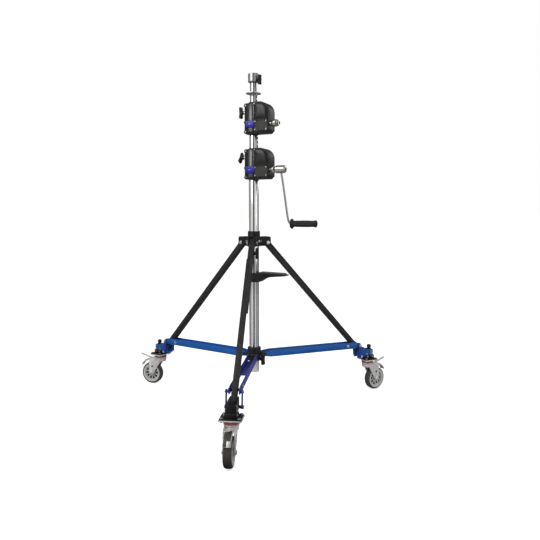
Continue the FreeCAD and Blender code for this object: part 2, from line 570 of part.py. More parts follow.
def rear_leg(side):
    """One-piece leg tube with its brace bush and foot pin hole."""
    foot_pin = LEG_LENGTH + d.foot_pin_beyond
    outer, inner = square_tube(f"leg_{side}", d.leg_width, -d.leg_end, foot_pin + d.leg_end)
    top_hole = rod(f"leg_top_hole_{side}", "pin_radius + fit_gap", 60, (0, -30, 0), ALONG_Y)
    foot_hole = rod(f"leg_foot_hole_{side}", "pin_radius + fit_gap", 60, (0, -30, -foot_pin), ALONG_Y)
    bush = rod(f"leg_bush_{side}", 6.5, "2 * lug_half", (0, "-lug_half", -LEG_LENGTH), ALONG_Y)
    tube = cut(f"leg_tube_{side}", outer, [inner, top_hole, foot_hole])
    keep(fuse(f"leg_body_{side}", [tube, bush]), f"{side}_leg",
         in_leg_plane(AZIMUTHS[side], d.pivot_reach, d.pivot_level, -LEG_TILT))


def front_leg():
    """Levelling leg: the lower tube lies outboard of the upper one and slides along it."""
    offset = (d.leg_width + d.lower_leg_width) / 2 + 0.3
    lean = math.degrees(math.asin(offset / LEG_LENGTH))
    along = math.sqrt(LEG_LENGTH ** 2 - offset ** 2)
    place = in_leg_plane(d.front_azimuth, d.pivot_reach, d.pivot_level, -LEG_TILT + lean)
    outer, inner = square_tube("front_upper", d.leg_width, -d.leg_end, d.upper_leg_length)
    hole = rod("front_top_hole", "pin_radius + fit_gap", 60, (0, -30, 0), ALONG_Y)
    nut_hole = rod("front_knob_hole", "knob_stem + fit_gap", 40, (0, 0, -d.level_knob_down), ALONG_Y)
    keep(cut("front_upper_cut", outer, [inner, hole, nut_hole]), "front_leg_upper", place)
    foot_angle = math.radians(LEG_TILT - lean)
    reach = d.foot_pin_reach - d.pivot_reach
    drop = d.pivot_level - d.foot_pin_level
    foot_along = reach * math.sin(foot_angle) + drop * math.cos(foot_angle)
    foot_out = reach * math.cos(foot_angle) - drop * math.sin(foot_angle)
    outer, inner = square_tube("front_lower", d.lower_leg_width, d.lower_leg_start,
                               foot_along + d.leg_end, offset)
    foot_hole = rod("front_foot_hole", "pin_radius + fit_gap", 60, (foot_out, -30, -foot_along), ALONG_Y)
    bush = rod("front_bush", 6.5, "2 * lug_half", (offset, "-lug_half", -along), ALONG_Y)
    tube = cut("front_lower_cut", outer, [inner, foot_hole])
    keep(fuse("front_lower_body", [tube, bush]), "front_leg_lower", place)
    knob = place.multiply(Placement(Vector(0, 3, -d.level_knob_down), Rotation(Z_AXIS, 90)))
    t_knob("level_knob", "levelling_knob", 20, knob)


def brace_collar():
    """Sliding collar with three lugs and pins for the braces, and its lock knob."""
    pieces = [rod("ring_body", "ring_radius", "ring_high - ring_low", (0, 0, "ring_low"))]
    for side, azimuth in AZIMUTHS.items():
        web = box(f"lug_web_{side}", ("lug_reach", "2 * lug_half", "2 * lug_round"),
                  (0, "-lug_half", "lug_level - lug_round"))
        nose = rod(f"lug_nose_{side}", "lug_round", "2 * lug_half",
                   ("lug_reach", "-lug_half", "lug_level"), ALONG_Y)
        pin = rod(f"lug_pin_{side}", "pin_radius", "2 * flange_out + 2",
                  ("lug_reach", "-flange_out - 1", "lug_level"), ALONG_Y)
        heads = [rod(f"lug_head_{side}_{n}", "pin_radius + 3.5", 4, ("lug_reach", y, "lug_level"),
                     ALONG_Y) for n, y in enumerate(("flange_out + 0.3", "-flange_out - 4.3"))]
        lug = fuse(f"lug_{side}", [web, nose, pin] + heads)
        lug.Placement = in_leg_plane(azimuth)
        pieces.append(lug)
    bore = rod("ring_hole", "ring_bore", 200, (0, 0, "ring_low - 50"))
    knob_azimuth, knob_level = -10.0, d.ring_low + 9
    screw = rod("ring_screw_hole", "knob_stem + fit_gap", 60, (0, 0, 0), ALONG_X)
    screw.Placement = Placement(Vector(0, 0, knob_level), Rotation(Z_AXIS, knob_azimuth) * ALONG_X)
    keep(cut("brace_collar_cut", fuse("brace_collar_body", pieces), [bore, screw]), "brace_collar")
    place = Placement(Vector(), Rotation(Z_AXIS, knob_azimuth)).multiply(
        Placement(Vector(d.outer_radius + 0.6, 0, knob_level), Rotation()))
    t_knob("ring_knob", "collar_lock_knob", 24, place)


def brace(side):
    """Channel brace, open on top, with the web slotted where the leg folds through it."""
    end = BRACE_LENGTH + d.brace_tail
    walls = []
    for sign in (-1, 1):
        start = d.flange_in if sign > 0 else -d.flange_out
        thick = d.flange_out - d.flange_in
        inner_round = 11.0
        half = d.brace_half
        outline = [(-inner_round, -6), (0, -inner_round), (d.web_start, -half), (BRACE_LENGTH, -half),
                   (end + 6, -d.brace_tail_round), (end + d.brace_tail_round, -4),
                   (end + d.brace_tail_round, 5), (end + 6, d.brace_tail_round),
                   (BRACE_LENGTH, half), (d.web_start, half), (0, inner_round), (-inner_round, 6)]
        wall = plate(f"brace_wall_{side}_{sign + 1}", outline, start, thick)
        hole = rod(f"brace_hole_{side}_{sign + 1}", "pin_radius + fit_gap", 80, (0, -40, 0), ALONG_Y)
        walls.append(cut(f"brace_flange_{side}_{sign + 1}", wall, [hole]))
        rivet_y = d.flange_out - 1 if sign > 0 else -d.rivet_out
        walls.append(rod(f"brace_rivet_{side}_{sign + 1}", "rivet_radius", "rivet_out - flange_out + 1",
                         (BRACE_LENGTH, rivet_y, 0), ALONG_Y))
        spacer_y = d.flange_out - 1 if sign > 0 else -d.spacer_out
        walls.append(rod(f"brace_spacer_{side}_{sign + 1}", "rivet_radius", "spacer_out - flange_out + 1",
                         (end, spacer_y, 0), ALONG_Y))
    web = box(f"brace_web_{side}", (d.web_lips - d.web_start, "2 * flange_out", "web_thick"),
              ("web_start", "-flange_out", "-brace_half"))
    slot = box(f"brace_slot_{side}", (400, "2 * web_slot_half", 40), ("web_full", "-web_slot_half", -30))
    keep(fuse(f"brace_body_{side}", walls + [cut(f"brace_web_cut_{side}", web, [slot])]),
         f"{side}_brace", in_leg_plane(AZIMUTHS[side], d.lug_reach, d.lug_level, BRACE_TILT))


def foot(side):
    """Caster carrier with its pins, the socket block, and the pair of links."""
    place = in_leg_plane(AZIMUTHS[side])
    pieces = []
    for sign in (-1, 1):
        y = d.cheek_in if sign > 0 else -d.cheek_out
        pieces.append(box(f"cheek_{side}_{sign + 1}",
                          ("cheek_right - cheek_left", "cheek_out - cheek_in", "cheek_high - cheek_low"),
                          ("cheek_left", y, "cheek_low")))
        stub = d.cheek_out - 1 if sign > 0 else -d.spacer_out
        pieces.append(rod(f"link_spacer_{side}_{sign + 1}", "rivet_radius", "spacer_out - cheek_out + 1",
                          ("link_pin_reach", stub, "link_pin_level"), ALONG_Y))
        tip = d.cheek_out - 1 if sign > 0 else -d.link_out - 0.5
        pieces.append(rod(f"link_stub_{side}_{sign + 1}", "pin_radius", "link_out - cheek_out + 1.5",
                          ("link_pin_reach", tip, "link_pin_level"), ALONG_Y))
        head = d.link_out + 0.3 if sign > 0 else -d.link_out - 4.3
        pieces.append(rod(f"link_head_{side}_{sign + 1}", "pin_radius + 3", 4,
                          ("link_pin_reach", head, "link_pin_level"), ALONG_Y))
    pieces.append(box(f"yoke_{side}", (5, "2 * cheek_out", "cheek_high - cheek_low"),
                      ("cheek_right - 5", "-cheek_out", "cheek_low")))
    pieces.append(rod(f"foot_pin_{side}", "pin_radius", "2 * cheek_out",
                      ("foot_pin_reach", "-cheek_out", "foot_pin_level"), ALONG_Y))
    keep(fuse(f"carrier_body_{side}", pieces), f"{side}_caster_carrier", place)
    block = box(f"block_{side}", ("block_right - block_left - 0.02", "2 * block_half",
                                  "block_high - block_low"),
                ("block_left + 0.02", "-block_half", "block_low"))
    block = rounded(f"block_soft_{side}", block, 3.0, lambda e: e.BoundBox.ZLength > 50)
    bumper = rod(f"bumper_{side}", "bumper_radius", "bumper_high - block_high + 1",
                 ("swivel_reach", 0, "block_high - 1"))
    race = rod(f"race_{side}", "crown_radius", "race_high - crown_high - 0.4",
               ("swivel_reach", 0, "crown_high + 0.4"))
    slab = box(f"caster_plate_{side}", ("plate_length", "plate_width", "block_low - race_high"),
               ("swivel_reach - plate_length / 2", "-plate_width / 2", "race_high"))
    slab = rounded(f"caster_plate_soft_{side}", slab, 8.0, is_upright)
    base = box(f"block_base_{side}", ("flange_length", "flange_width", "flange_top - block_low"),
               ("swivel_reach - flange_length / 2", "-flange_width / 2", "block_low"))
    base = rounded(f"block_base_soft_{side}", base, 12.0, is_upright)
    bolts = [rod(f"plate_bolt_{side}_{n}", "bolt_radius", "flange_top - race_high + 10",
                 (f"swivel_reach + {x} * bolt_reach", f"{y} * bolt_side", "race_high - 6"))
             for n, (x, y) in enumerate(((1, 1), (1, -1), (-1, 1), (-1, -1)))]
    king = rod(f"king_pin_{side}", "king_radius", "crown_high - crown_low + 4",
               ("swivel_reach", 0, "crown_low"))
    keep(fuse(f"block_body_{side}", [block, bumper, race, slab, base, king] + bolts),
         f"{side}_caster_socket", place)
    links(side, place)


def links(side, place):
    """Two flat link bars between the brace end and the carrier."""
    tilt = math.radians(BRACE_TILT)
    top = Vector(d.brace_pin_reach + d.brace_tail * math.cos(tilt), 0,
                 d.brace_pin_level - d.brace_tail * math.sin(tilt))
    low = Vector(d.link_pin_reach, 0, d.link_pin_level)
    span = top.sub(low)
    bars = []
    for number, y in enumerate((d.link_in, -d.link_out)):
        bar = box(f"link_bar_{side}_{number}", (span.Length, "link_out - link_in", "2 * link_half"),
                  (0, 0, "-link_half"))
        ends = [rod(f"link_end_{side}_{number}_{n}", "link_half", "link_out - link_in", (x, 0, 0), ALONG_Y)
                for n, x in enumerate((0, span.Length))]
        hole = rod(f"link_hole_{side}_{number}", "pin_radius + fit_gap", 30, (0, -10, 0), ALONG_Y)
        link = cut(f"link_{side}_{number}", fuse(f"link_solid_{side}_{number}", [bar] + ends), [hole])
        link.Placement = Placement(Vector(low.x, y, low.z), Rotation(X_AXIS, span))
        bars.append(link)
    keep(group(f"links_{side}", bars), f"{side}_foot_links", place)


def caster(side):
    """Fork, spoked wheel, tyre and brake pedal of one caster, trailing outwards."""
    place = in_leg_plane(AZIMUTHS[side], d.swivel_reach).multiply(
        Placement(Vector(), Rotation(Z_AXIS, DIMS[f"{side}_turn"])))
    crown = rod(f"crown_{side}", "crown_radius", "crown_high - crown_low", (0, 0, "crown_low"))
    bridge = box(f"bridge_{side}", (60, "2 * fork_out", 10), (-14, "-fork_out", "crown_low"))
    pieces = [crown, bridge]
    for number, y in enumerate((d.fork_in, -d.fork_out)):
        outline = [(-8, d.crown_low), (-8, d.crown_high - 8), (12, d.crown_high - 2),
                   (d.trail + 6, d.crown_high - 4), (d.trail + d.fork_eye - 1, d.crown_low - 18),
                   (d.trail + d.fork_eye, d.wheel_radius + 4), (d.trail + d.fork_eye - 5, d.wheel_radius - 10),
                   (d.trail + 5, d.wheel_radius - 14), (d.trail - 5, d.wheel_radius - 14),
                   (d.trail - d.fork_eye, d.wheel_radius - 2)]
        pieces.append(plate(f"fork_leg_{side}_{number}", outline, y, d.fork_out - d.fork_in))
    bolt = rod(f"wheel_bolt_{side}", "axle_radius", "2 * fork_out", ("trail", "-fork_out", "wheel_radius"),
               ALONG_Y)
    caps = [rod(f"axle_cap_{side}_{n}", 9, 5, ("trail", y, "wheel_radius"), ALONG_Y)
            for n, y in enumerate(("fork_out - 1", "-fork_out - 4"))]
    pedal_pin = rod(f"pedal_pin_{side}", "pedal_pin_radius", "2 * fork_out", ("pedal_pin_reach", "-fork_out", "pedal_pin_level"),
                    ALONG_Y)
    king_hole = rod(f"king_hole_{side}", "king_radius + fit_gap", 60, (0, 0, "crown_low - 20"))
    relief = box(f"pedal_relief_{side}", (40, "2 * pedal_half + 1", 30),
                 ("pedal_pin_reach - 10", "-pedal_half - 0.5", "crown_low - 3"))
    body = cut(f"fork_cut_{side}", fuse(f"fork_body_{side}", pieces), [king_hole, relief])
    keep(fuse(f"fork_{side}", [body, bolt, pedal_pin] + caps), f"{side}_caster_fork", place)
    rolling = place.multiply(Placement(Vector(d.trail, 0, d.wheel_radius), Rotation()))
    tyre = rod(f"tyre_skin_{side}", "wheel_radius", "2 * tyre_half", (0, "-tyre_half", 0), ALONG_Y)
    tyre = rounded(f"tyre_soft_{side}", tyre, 7.0, lambda e: e.BoundBox.YLength < CORNERS)
    tyre_hole = rod(f"tyre_hole_{side}", "tyre_inner", 80, (0, -40, 0), ALONG_Y)
    keep(cut(f"tyre_cut_{side}", tyre, [tyre_hole]), f"{side}_tyre", rolling)
    rim = rod(f"rim_{side}", "tyre_inner - seat_gap", "2 * hub_half", (0, "-hub_half", 0), ALONG_Y)
    dish_depth = 9
    dishes = [cut(f"dish_{side}_{n}", rod(f"dish_out_{side}_{n}", "tyre_inner - 5", dish_depth, (0, y, 0), ALONG_Y),
                  [rod(f"dish_in_{side}_{n}", 13, 40, (0, -20, 0), ALONG_Y)])
              for n, y in enumerate(("hub_half - 8", "-hub_half - 1"))]
    axle_hole = rod(f"axle_hole_{side}", "axle_radius + fit_gap", 80, (0, -40, 0), ALONG_Y)
    keep(cut(f"hub_cut_{side}", rim, dishes + [axle_hole]), f"{side}_wheel_hub", rolling)
    pedal(side, place)


def pedal(side, place):
    """Brake pedal: a broad tread curving down over the tyre and a narrow release lever above it."""
    tread = [(-4, 6.3), (10, 6), (30, 2.5), (52, -8), (68, -24), (75, -37), (70, -39.5), (63, -27),
             (48, -13), (28, -3.5), (0, -6.4)]
    lever = [(0, 5.5), (12, 8), (46, 17), (84, 30), (86, 26), (48, 12), (24, 4), (10, -2)]
    eye = rod(f"pedal_eye_{side}", "pedal_eye", "2 * pedal_half", (0, "-pedal_half", 0), ALONG_Y)
    pieces = [plate(f"pedal_tread_{side}", tread, -d.pedal_half, 2 * d.pedal_half),
              plate(f"pedal_lever_{side}", lever, -d.lever_half, 2 * d.lever_half), eye]
    hole = rod(f"pedal_hole_{side}", "pedal_pin_radius + fit_gap", 60, (0, -30, 0), ALONG_Y)
    keep(cut(f"pedal_cut_{side}", fuse(f"pedal_body_{side}", pieces), [hole]), f"{side}_brake_pedal",
         place.multiply(Placement(Vector(d.pedal_pin_reach, 0, d.pedal_pin_level), Rotation())))


def check_and_export():
    """Stop on any failed object or bad sub-part, then write one STEP file each."""
    doc.recompute()
    for item in doc.Objects:
        if {"Invalid", "Error"} & set(item.State):
            raise RuntimeError(f"{item.Label}: {item.State}")
    os.makedirs("parts", exist_ok=True)
    for item in finished:
        if item.Shape.isNull() or not item.Shape.isValid():
            raise RuntimeError(f"{item.Label}: bad shape")
    for item in finished:
        item.Shape.exportStep(f"parts/{item.Label}.step")
        print(item.Label, round(item.Shape.Volume), len(item.Shape.Solids))
    print(len(finished), "nodes")


MIDDLE_SPROCKET = d.middle_radius - d.middle_wall / 2 + d.sprocket_teeth * d.slot_pitch / (2 * math.pi)
TOP_SPROCKET = d.top_radius - d.top_wall / 2 + d.sprocket_teeth * d.slot_pitch / (2 * math.pi)

column()
case_parts("lower", "lower_crank", "outer_radius", "middle_radius", MIDDLE_SPROCKET)
case_parts("upper", "upper_crank", "middle_radius", "top_radius", TOP_SPROCKET)
drive("lower", "lower_crank", MIDDLE_SPROCKET, "short_hub_end - 14")
drive("upper", "upper_crank", TOP_SPROCKET, "hub_end - 28")
hubs()
crank()
risers()
knobs()
for leg_side in ("right", "left"):
    rear_leg(leg_side)
front_leg()
brace_collar()
for leg_side in AZIMUTHS:
    brace(leg_side)
    foot(leg_side)
    caster(leg_side)
check_and_export()
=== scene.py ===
"""Looks of a wind-up lighting stand: chrome risers, cast gearboxes, blue-braced tripod, braked casters."""

import json
import logging
import math
from collections.abc import Callable, Iterable, Sequence
from dataclasses import dataclass, field, replace
from enum import Enum

import bmesh
import bpy
from mathutils import Matrix, Vector

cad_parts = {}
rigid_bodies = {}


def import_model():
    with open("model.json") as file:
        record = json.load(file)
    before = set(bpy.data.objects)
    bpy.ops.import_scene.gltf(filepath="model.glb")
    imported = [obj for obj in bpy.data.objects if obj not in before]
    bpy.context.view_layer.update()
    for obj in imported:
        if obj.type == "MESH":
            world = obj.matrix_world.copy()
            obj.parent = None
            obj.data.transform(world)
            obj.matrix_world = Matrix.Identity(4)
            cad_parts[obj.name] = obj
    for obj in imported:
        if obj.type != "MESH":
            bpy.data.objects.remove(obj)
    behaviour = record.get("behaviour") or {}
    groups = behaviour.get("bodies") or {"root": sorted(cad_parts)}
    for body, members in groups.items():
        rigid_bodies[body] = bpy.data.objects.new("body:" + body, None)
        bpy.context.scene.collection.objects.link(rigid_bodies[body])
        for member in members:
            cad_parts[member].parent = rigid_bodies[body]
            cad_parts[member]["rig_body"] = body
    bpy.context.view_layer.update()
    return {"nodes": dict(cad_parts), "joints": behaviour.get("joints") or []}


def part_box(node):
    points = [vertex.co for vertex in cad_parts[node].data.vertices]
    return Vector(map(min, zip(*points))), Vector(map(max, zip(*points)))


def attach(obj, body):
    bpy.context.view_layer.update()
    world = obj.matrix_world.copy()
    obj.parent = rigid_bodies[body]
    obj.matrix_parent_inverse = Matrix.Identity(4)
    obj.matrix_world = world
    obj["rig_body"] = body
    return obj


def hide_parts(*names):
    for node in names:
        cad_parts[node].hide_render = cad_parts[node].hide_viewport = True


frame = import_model()
log = logging.getLogger("stand")
Colour = tuple[float, float, float]
Mesh = bmesh.types.BMesh
Tree = bpy.types.NodeTree
Socket = bpy.types.NodeSocket
MM = 0.001
FULL_TURN = 2 * math.pi


class Side(Enum):
    """The three arms of the tripod."""

    FRONT = "front"
    RIGHT = "right"
    LEFT = "left"


class Stage(Enum):
    """The two crank gearboxes, by the name their nodes start with."""

    LOWER = "lower"
    UPPER = "upper"


# ---------------------------------------------------------------- shader groups

def new_group(name: str, inputs: dict[str, float], outputs: Sequence[str]) -> Tree:
    """Make an empty shader group.

    Args:
        name: name of the group.
        inputs: float inputs and their defaults.
        outputs: float outputs.

    Returns:
        The node tree with its input and output nodes.
    """
    tree = bpy.data.node_groups.new(name, "ShaderNodeTree")
    for label, value in inputs.items():
        socket = tree.interface.new_socket(label, in_out="INPUT", socket_type="NodeSocketFloat")
        socket.default_value = value
    for label in outputs:
        tree.interface.new_socket(label, in_out="OUTPUT", socket_type="NodeSocketFloat")
    tree.nodes.new("NodeGroupInput")
    tree.nodes.new("NodeGroupOutput")
    return tree


def ends(tree: Tree) -> tuple[bpy.types.Node, bpy.types.Node]:
    """The input and output nodes of a group."""
    return tree.nodes["Group Input"], tree.nodes["Group Output"]


def math_node(tree: Tree, operation: str, first: object, second: object) -> Socket:
    """Join two sockets or numbers with a Math node.

    Args:
        tree: the node tree.
        operation: Blender's name of the operation.
        first: a socket or a number.
        second: a socket or a number.

    Returns:
        The result socket.
    """
    node = tree.nodes.new("ShaderNodeMath")
    node.operation = operation
    for index, value in enumerate((first, second)):
        if isinstance(value, Socket):
            tree.links.new(value, node.inputs[index])
        else:
            node.inputs[index].default_value = float(value)
    return node.outputs[0]


def noise(tree: Tree, scale: object, detail: float, stretch: Colour = (1, 1, 1)) -> Socket:
    """A noise texture on Object coordinates.

    Args:
        tree: the node tree.
        scale: noise scale, a socket or a number.
        detail: octaves.
        stretch: scale along each axis before the noise.

    Returns:
        The noise value socket.
    """
    place = tree.nodes.new("ShaderNodeTexCoord")
    mapping = tree.nodes.new("ShaderNodeMapping")
    mapping.inputs["Scale"].default_value = stretch
    tree.links.new(place.outputs["Object"], mapping.inputs["Vector"])
    node = tree.nodes.new("ShaderNodeTexNoise")
    node.inputs["Detail"].default_value = detail
    if isinstance(scale, Socket):
        tree.links.new(scale, node.inputs["Scale"])
    else:
        node.inputs["Scale"].default_value = scale
    tree.links.new(mapping.outputs["Vector"], node.inputs["Vector"])
    return node.outputs["Fac"]


def ramp(tree: Tree, value: Socket, low: float, high: float) -> Socket:
    """Map a value so that low gives 0 and high gives 1, clamped.

    Args:
        tree: the node tree.
        value: the socket to map.
        low: value that becomes 0.
        high: value that becomes 1.

    Returns:
        The mapped socket.
    """
    node = tree.nodes.new("ShaderNodeMapRange")
    node.inputs["From Min"].default_value = low
    node.inputs["From Max"].default_value = high
    tree.links.new(value, node.inputs["Value"])
    return node.outputs["Result"]


def build_grain() -> Tree:
    """Fine surface texture: orange peel and grit, as a height."""
    tree = new_group("surface_grain", {"Scale": 900.0, "Grit": 0.4}, ["Height"])
    source, sink = ends(tree)
    peel = noise(tree, source.outputs["Scale"], 2.0)
    coarse = noise(tree, 240.0, 3.0)
    grit = math_node(tree, "MULTIPLY", coarse, source.outputs["Grit"])
    tree.links.new(math_node(tree, "ADD", peel, grit), sink.inputs["Height"])
    return tree


def build_wear() -> Tree:
    """Rubbed edges and stray chips, as a mask."""
    tree = new_group("rubbed_edges", {"Amount": 0.3, "Chips": 0.2}, ["Mask"])
    source, sink = ends(tree)
    geometry = tree.nodes.new("ShaderNodeNewGeometry")
    edge = ramp(tree, geometry.outputs["Pointiness"], 0.515, 0.60)
    broken = ramp(tree, noise(tree, 160.0, 5.0), 0.42, 0.68)
    rubbed = math_node(tree, "MULTIPLY", math_node(tree, "MULTIPLY", edge, broken), source.outputs["Amount"])
    specks = ramp(tree, noise(tree, 330.0, 4.0), 0.69, 0.74)
    chips = math_node(tree, "MULTIPLY", specks, source.outputs["Chips"])
    tree.links.new(math_node(tree, "MAXIMUM", rubbed, chips), sink.inputs["Mask"])
    return tree


def build_dust() -> Tree:
    """Dust that has settled on upward faces, and a thin film elsewhere, as a mask."""
    tree = new_group("settled_dust", {"Amount": 0.2}, ["Mask"])
    source, sink = ends(tree)
    geometry = tree.nodes.new("ShaderNodeNewGeometry")
    split = tree.nodes.new("ShaderNodeSeparateXYZ")
    tree.links.new(geometry.outputs["Normal"], split.inputs["Vector"])
    upward = ramp(tree, split.outputs["Z"], -0.6, 1.0)
    cloud = ramp(tree, noise(tree, 34.0, 6.0), 0.35, 0.75)
    film = math_node(tree, "MULTIPLY", math_node(tree, "MULTIPLY", upward, cloud), source.outputs["Amount"])
    tree.links.new(film, sink.inputs["Mask"])
    return tree


def build_bore_shade_mask() -> Tree:
    """One outside a radius about the column axis and zero inside, where tube bores get painted shade."""
    tree = new_group("outer_skin", {"Radius": 0.02}, ["Mask"])
    source, sink = ends(tree)
    place = tree.nodes.new("ShaderNodeTexCoord")
    split = tree.nodes.new("ShaderNodeSeparateXYZ")
    tree.links.new(place.outputs["Object"], split.inputs["Vector"])
    across = math_node(tree, "POWER", split.outputs["X"], 2.0)
    along = math_node(tree, "POWER", split.outputs["Y"], 2.0)
    reach = math_node(tree, "SQRT", math_node(tree, "ADD", across, along), 0.0)
    outside = math_node(tree, "GREATER_THAN", reach, source.outputs["Radius"])
    tree.links.new(outside, sink.inputs["Mask"])
    return tree


def build_handling() -> Tree:
    """Smears, wiped patches and fine drawn lines, as a roughness."""
    tree = new_group("handling_marks", {"Base": 0.3, "Spread": 0.1, "Lines": 0.05}, ["Roughness"])
    source, sink = ends(tree)
    smear = math_node(tree, "SUBTRACT", noise(tree, 21.0, 5.0), 0.5)
    lines = math_node(tree, "SUBTRACT", noise(tree, 60.0, 3.0, (14.0, 14.0, 0.35)), 0.5)
    spread = math_node(tree, "MULTIPLY", smear, source.outputs["Spread"])
    drawn = math_node(tree, "MULTIPLY", lines, source.outputs["Lines"])
    total = math_node(tree, "ADD", math_node(tree, "ADD", spread, drawn), source.outputs["Base"])
    tree.links.new(total, sink.inputs["Roughness"])
    return tree


GROUP_MAKERS: dict[str, Callable[[], Tree]] = {
    "surface_grain": build_grain, "rubbed_edges": build_wear,
    "settled_dust": build_dust, "handling_marks": build_handling, "outer_skin": build_bore_shade_mask,
}


def group_node(tree: Tree, name: str, **values: float) -> bpy.types.Node:
    """Place a shared shader group in a material.

    Args:
        tree: the material's node tree.
        name: the group's name.
        values: values of its inputs.

    Returns:
        The group node.
    """
    group = bpy.data.node_groups.get(name) or GROUP_MAKERS[name]()
    node = tree.nodes.new("ShaderNodeGroup")
    node.node_tree = group
    for label, value in values.items():
        node.inputs[label.capitalize()].default_value = value
    return node


@dataclass(frozen=True)
class Finish:
    """One surface finish: its colour, gloss, texture, wear, dust and painted shade in tube bores."""

    name: str
    slot: str
    colour: Colour
    roughness: float
    metallic: float = 0.0
    smear: float = 0.12
    lines: float = 0.0
    mottle: float = 0.12
    specular: float = 0.5
    # radius inside which the colour is painted near-black as shade in a tube's bore
    bore: float = 0.0
    grain_scale: float = 900.0
    grit: float = 0.4
    bump: float = 0.12
    wear: float = 0.0
    chips: float = 0.0
    wear_colour: Colour = (0.42, 0.40, 0.38)
    dust: float = 0.0
    dust_colour: Colour = (0.42, 0.39, 0.35)

    def material(self) -> bpy.types.Material:
        """Build the material, or return the one already made."""
        made = bpy.data.materials.get(self.name)
        if made:
            return made
        made = bpy.data.materials.new(self.name)
        made.use_nodes = True
        tree = made.node_tree
        shader = tree.nodes["Principled BSDF"]
        shader.inputs["Metallic"].default_value = self.metallic
        shader.inputs["Specular IOR Level"].default_value = self.specular
        tree.links.new(self._colour(tree), shader.inputs["Base Color"])
        marks = group_node(tree, "handling_marks", base=self.roughness, spread=self.smear, lines=self.lines)
        tree.links.new(marks.outputs["Roughness"], shader.inputs["Roughness"])
        grain = group_node(tree, "surface_grain", scale=self.grain_scale, grit=self.grit)
        bump = tree.nodes.new("ShaderNodeBump")
        bump.inputs["Strength"].default_value = self.bump
        bump.inputs["Distance"].default_value = 0.0006
        tree.links.new(grain.outputs["Height"], bump.inputs["Height"])
        tree.links.new(bump.outputs["Normal"], shader.inputs["Normal"])
        return made

    def _colour(self, tree: Tree) -> Socket:
        """Base colour with mottling, wear, dust and painted bore shade laid over each other."""
        shade = tuple(c * (1 - self.mottle) for c in self.colour)
        light = tuple(min(1.0, c * (1 + self.mottle)) for c in self.colour)
        cloud = ramp(tree, noise(tree, 55.0, 5.0), 0.3, 0.7)
        result = self._mix(tree, cloud, shade, light)
        if self.wear or self.chips:
            worn = group_node(tree, "rubbed_edges", amount=self.wear, chips=self.chips)
            result = self._mix(tree, worn.outputs["Mask"], result, self.wear_colour)
        if self.dust:
            film = group_node(tree, "settled_dust", amount=self.dust)
            result = self._mix(tree, film.outputs["Mask"], result, self.dust_colour)
        # Painted shade: near-black inside the bore radius, where the inside of the tube lies in shade.
        if self.bore:
            skin = group_node(tree, "outer_skin", radius=self.bore)
            result = self._mix(tree, skin.outputs["Mask"], (0.012, 0.012, 0.012), result)
        return result

    @staticmethod
    def _mix(tree: Tree, factor: Socket, low: object, high: object) -> Socket:
        """Mix two colours or sockets by a factor.

        Args:
            tree: the node tree.
            factor: the share of the second colour.
            low: the first colour, a socket or numbers.
            high: the second colour, a socket or numbers.

        Returns:
            The mixed colour.
        """
        node = tree.nodes.new("ShaderNodeMix")
        node.data_type = "RGBA"
        tree.links.new(factor, node.inputs["Factor"])
        for socket, value in ((node.inputs[6], low), (node.inputs[7], high)):
            if isinstance(value, Socket):
                tree.links.new(value, socket)
            else:
                socket.default_value = (*value, 1.0)
        return node.outputs[2]


CHROME = Finish("chrome_tube", "chrome", (0.70, 0.69, 0.67), 0.09, 1.0, smear=0.05, lines=0.08,
                mottle=0.03, bump=0.012, dust=0.04)
BRIGHT = Finish("bright_steel_turned", "bright_steel", (0.62, 0.62, 0.62), 0.24, 1.0, smear=0.15,
                mottle=0.06, bump=0.04, dust=0.05)
SCREW = Finish("screw_steel", "bright_steel", (0.42, 0.42, 0.41), 0.34, 1.0, smear=0.15,
               mottle=0.10, bump=0.05, dust=0.08)
CAST = Finish("black_cast_coat", "black_cast", (0.0075, 0.0078, 0.0082), 0.42, smear=0.14, mottle=0.25,
              specular=0.20, grain_scale=700.0, grit=0.7, bump=0.36, wear=0.30, chips=0.04,
              wear_colour=(0.20, 0.19, 0.18), dust=0.035)
GLOSS = Finish("gear_cover_gloss", "black_gloss", (0.009, 0.009, 0.0095), 0.30, smear=0.10, specular=0.34,
               grain_scale=600.0, grit=0.5, bump=0.10, wear=0.15, dust=0.04)
PLATE = Finish("worm_cover_plate", "dark_plate", (0.040, 0.042, 0.037), 0.52, smear=0.15, mottle=0.10,
               specular=0.25, bump=0.20, wear=0.3, chips=0.04, dust=0.05)
GEAR = Finish("gear_steel_cut", "gear_steel", (0.40, 0.40, 0.41), 0.34, 1.0, bump=0.05)
BRONZE = Finish("wheel_bronze", "bronze", (0.56, 0.38, 0.18), 0.34, 1.0, bump=0.05)
HUB = Finish("polished_hub_metal", "polished_hub", (0.43, 0.405, 0.37), 0.26, 1.0, smear=0.12, lines=0.04,
             mottle=0.06, bump=0.03, dust=0.04)
ROD = Finish("crank_rod_nickel", "polished_hub", (0.34, 0.335, 0.32), 0.30, 1.0, smear=0.15, mottle=0.08,
             bump=0.04, dust=0.05)
KNOB = Finish("black_moulded_knob", "black_plastic", (0.006, 0.006, 0.0065), 0.40, smear=0.12, mottle=0.15,
              specular=0.30, grain_scale=1400.0, grit=0.2, bump=0.14, dust=0.03)
GRIP = Finish("black_grip_rubber", "black_plastic", (0.012, 0.012, 0.0115), 0.55, smear=0.15, mottle=0.20,
              specular=0.30, grain_scale=1100.0, bump=0.26, dust=0.06)
LEG = Finish("leg_powder_coat", "black_paint", (0.0100, 0.0105, 0.0110), 0.40, smear=0.14, mottle=0.22,
             specular=0.26, grain_scale=800.0, grit=0.6, bump=0.20, wear=0.35, chips=0.05,
             wear_colour=(0.16, 0.155, 0.15), dust=0.035)
BLUE = Finish("blue_powder_coat", "blue_paint", (0.004, 0.100, 0.400), 0.36, smear=0.12, mottle=0.10,
              specular=0.30, grain_scale=800.0, grit=0.5, bump=0.14, wear=0.25, chips=0.03,
              wear_colour=(0.14, 0.20, 0.34), dust=0.02)
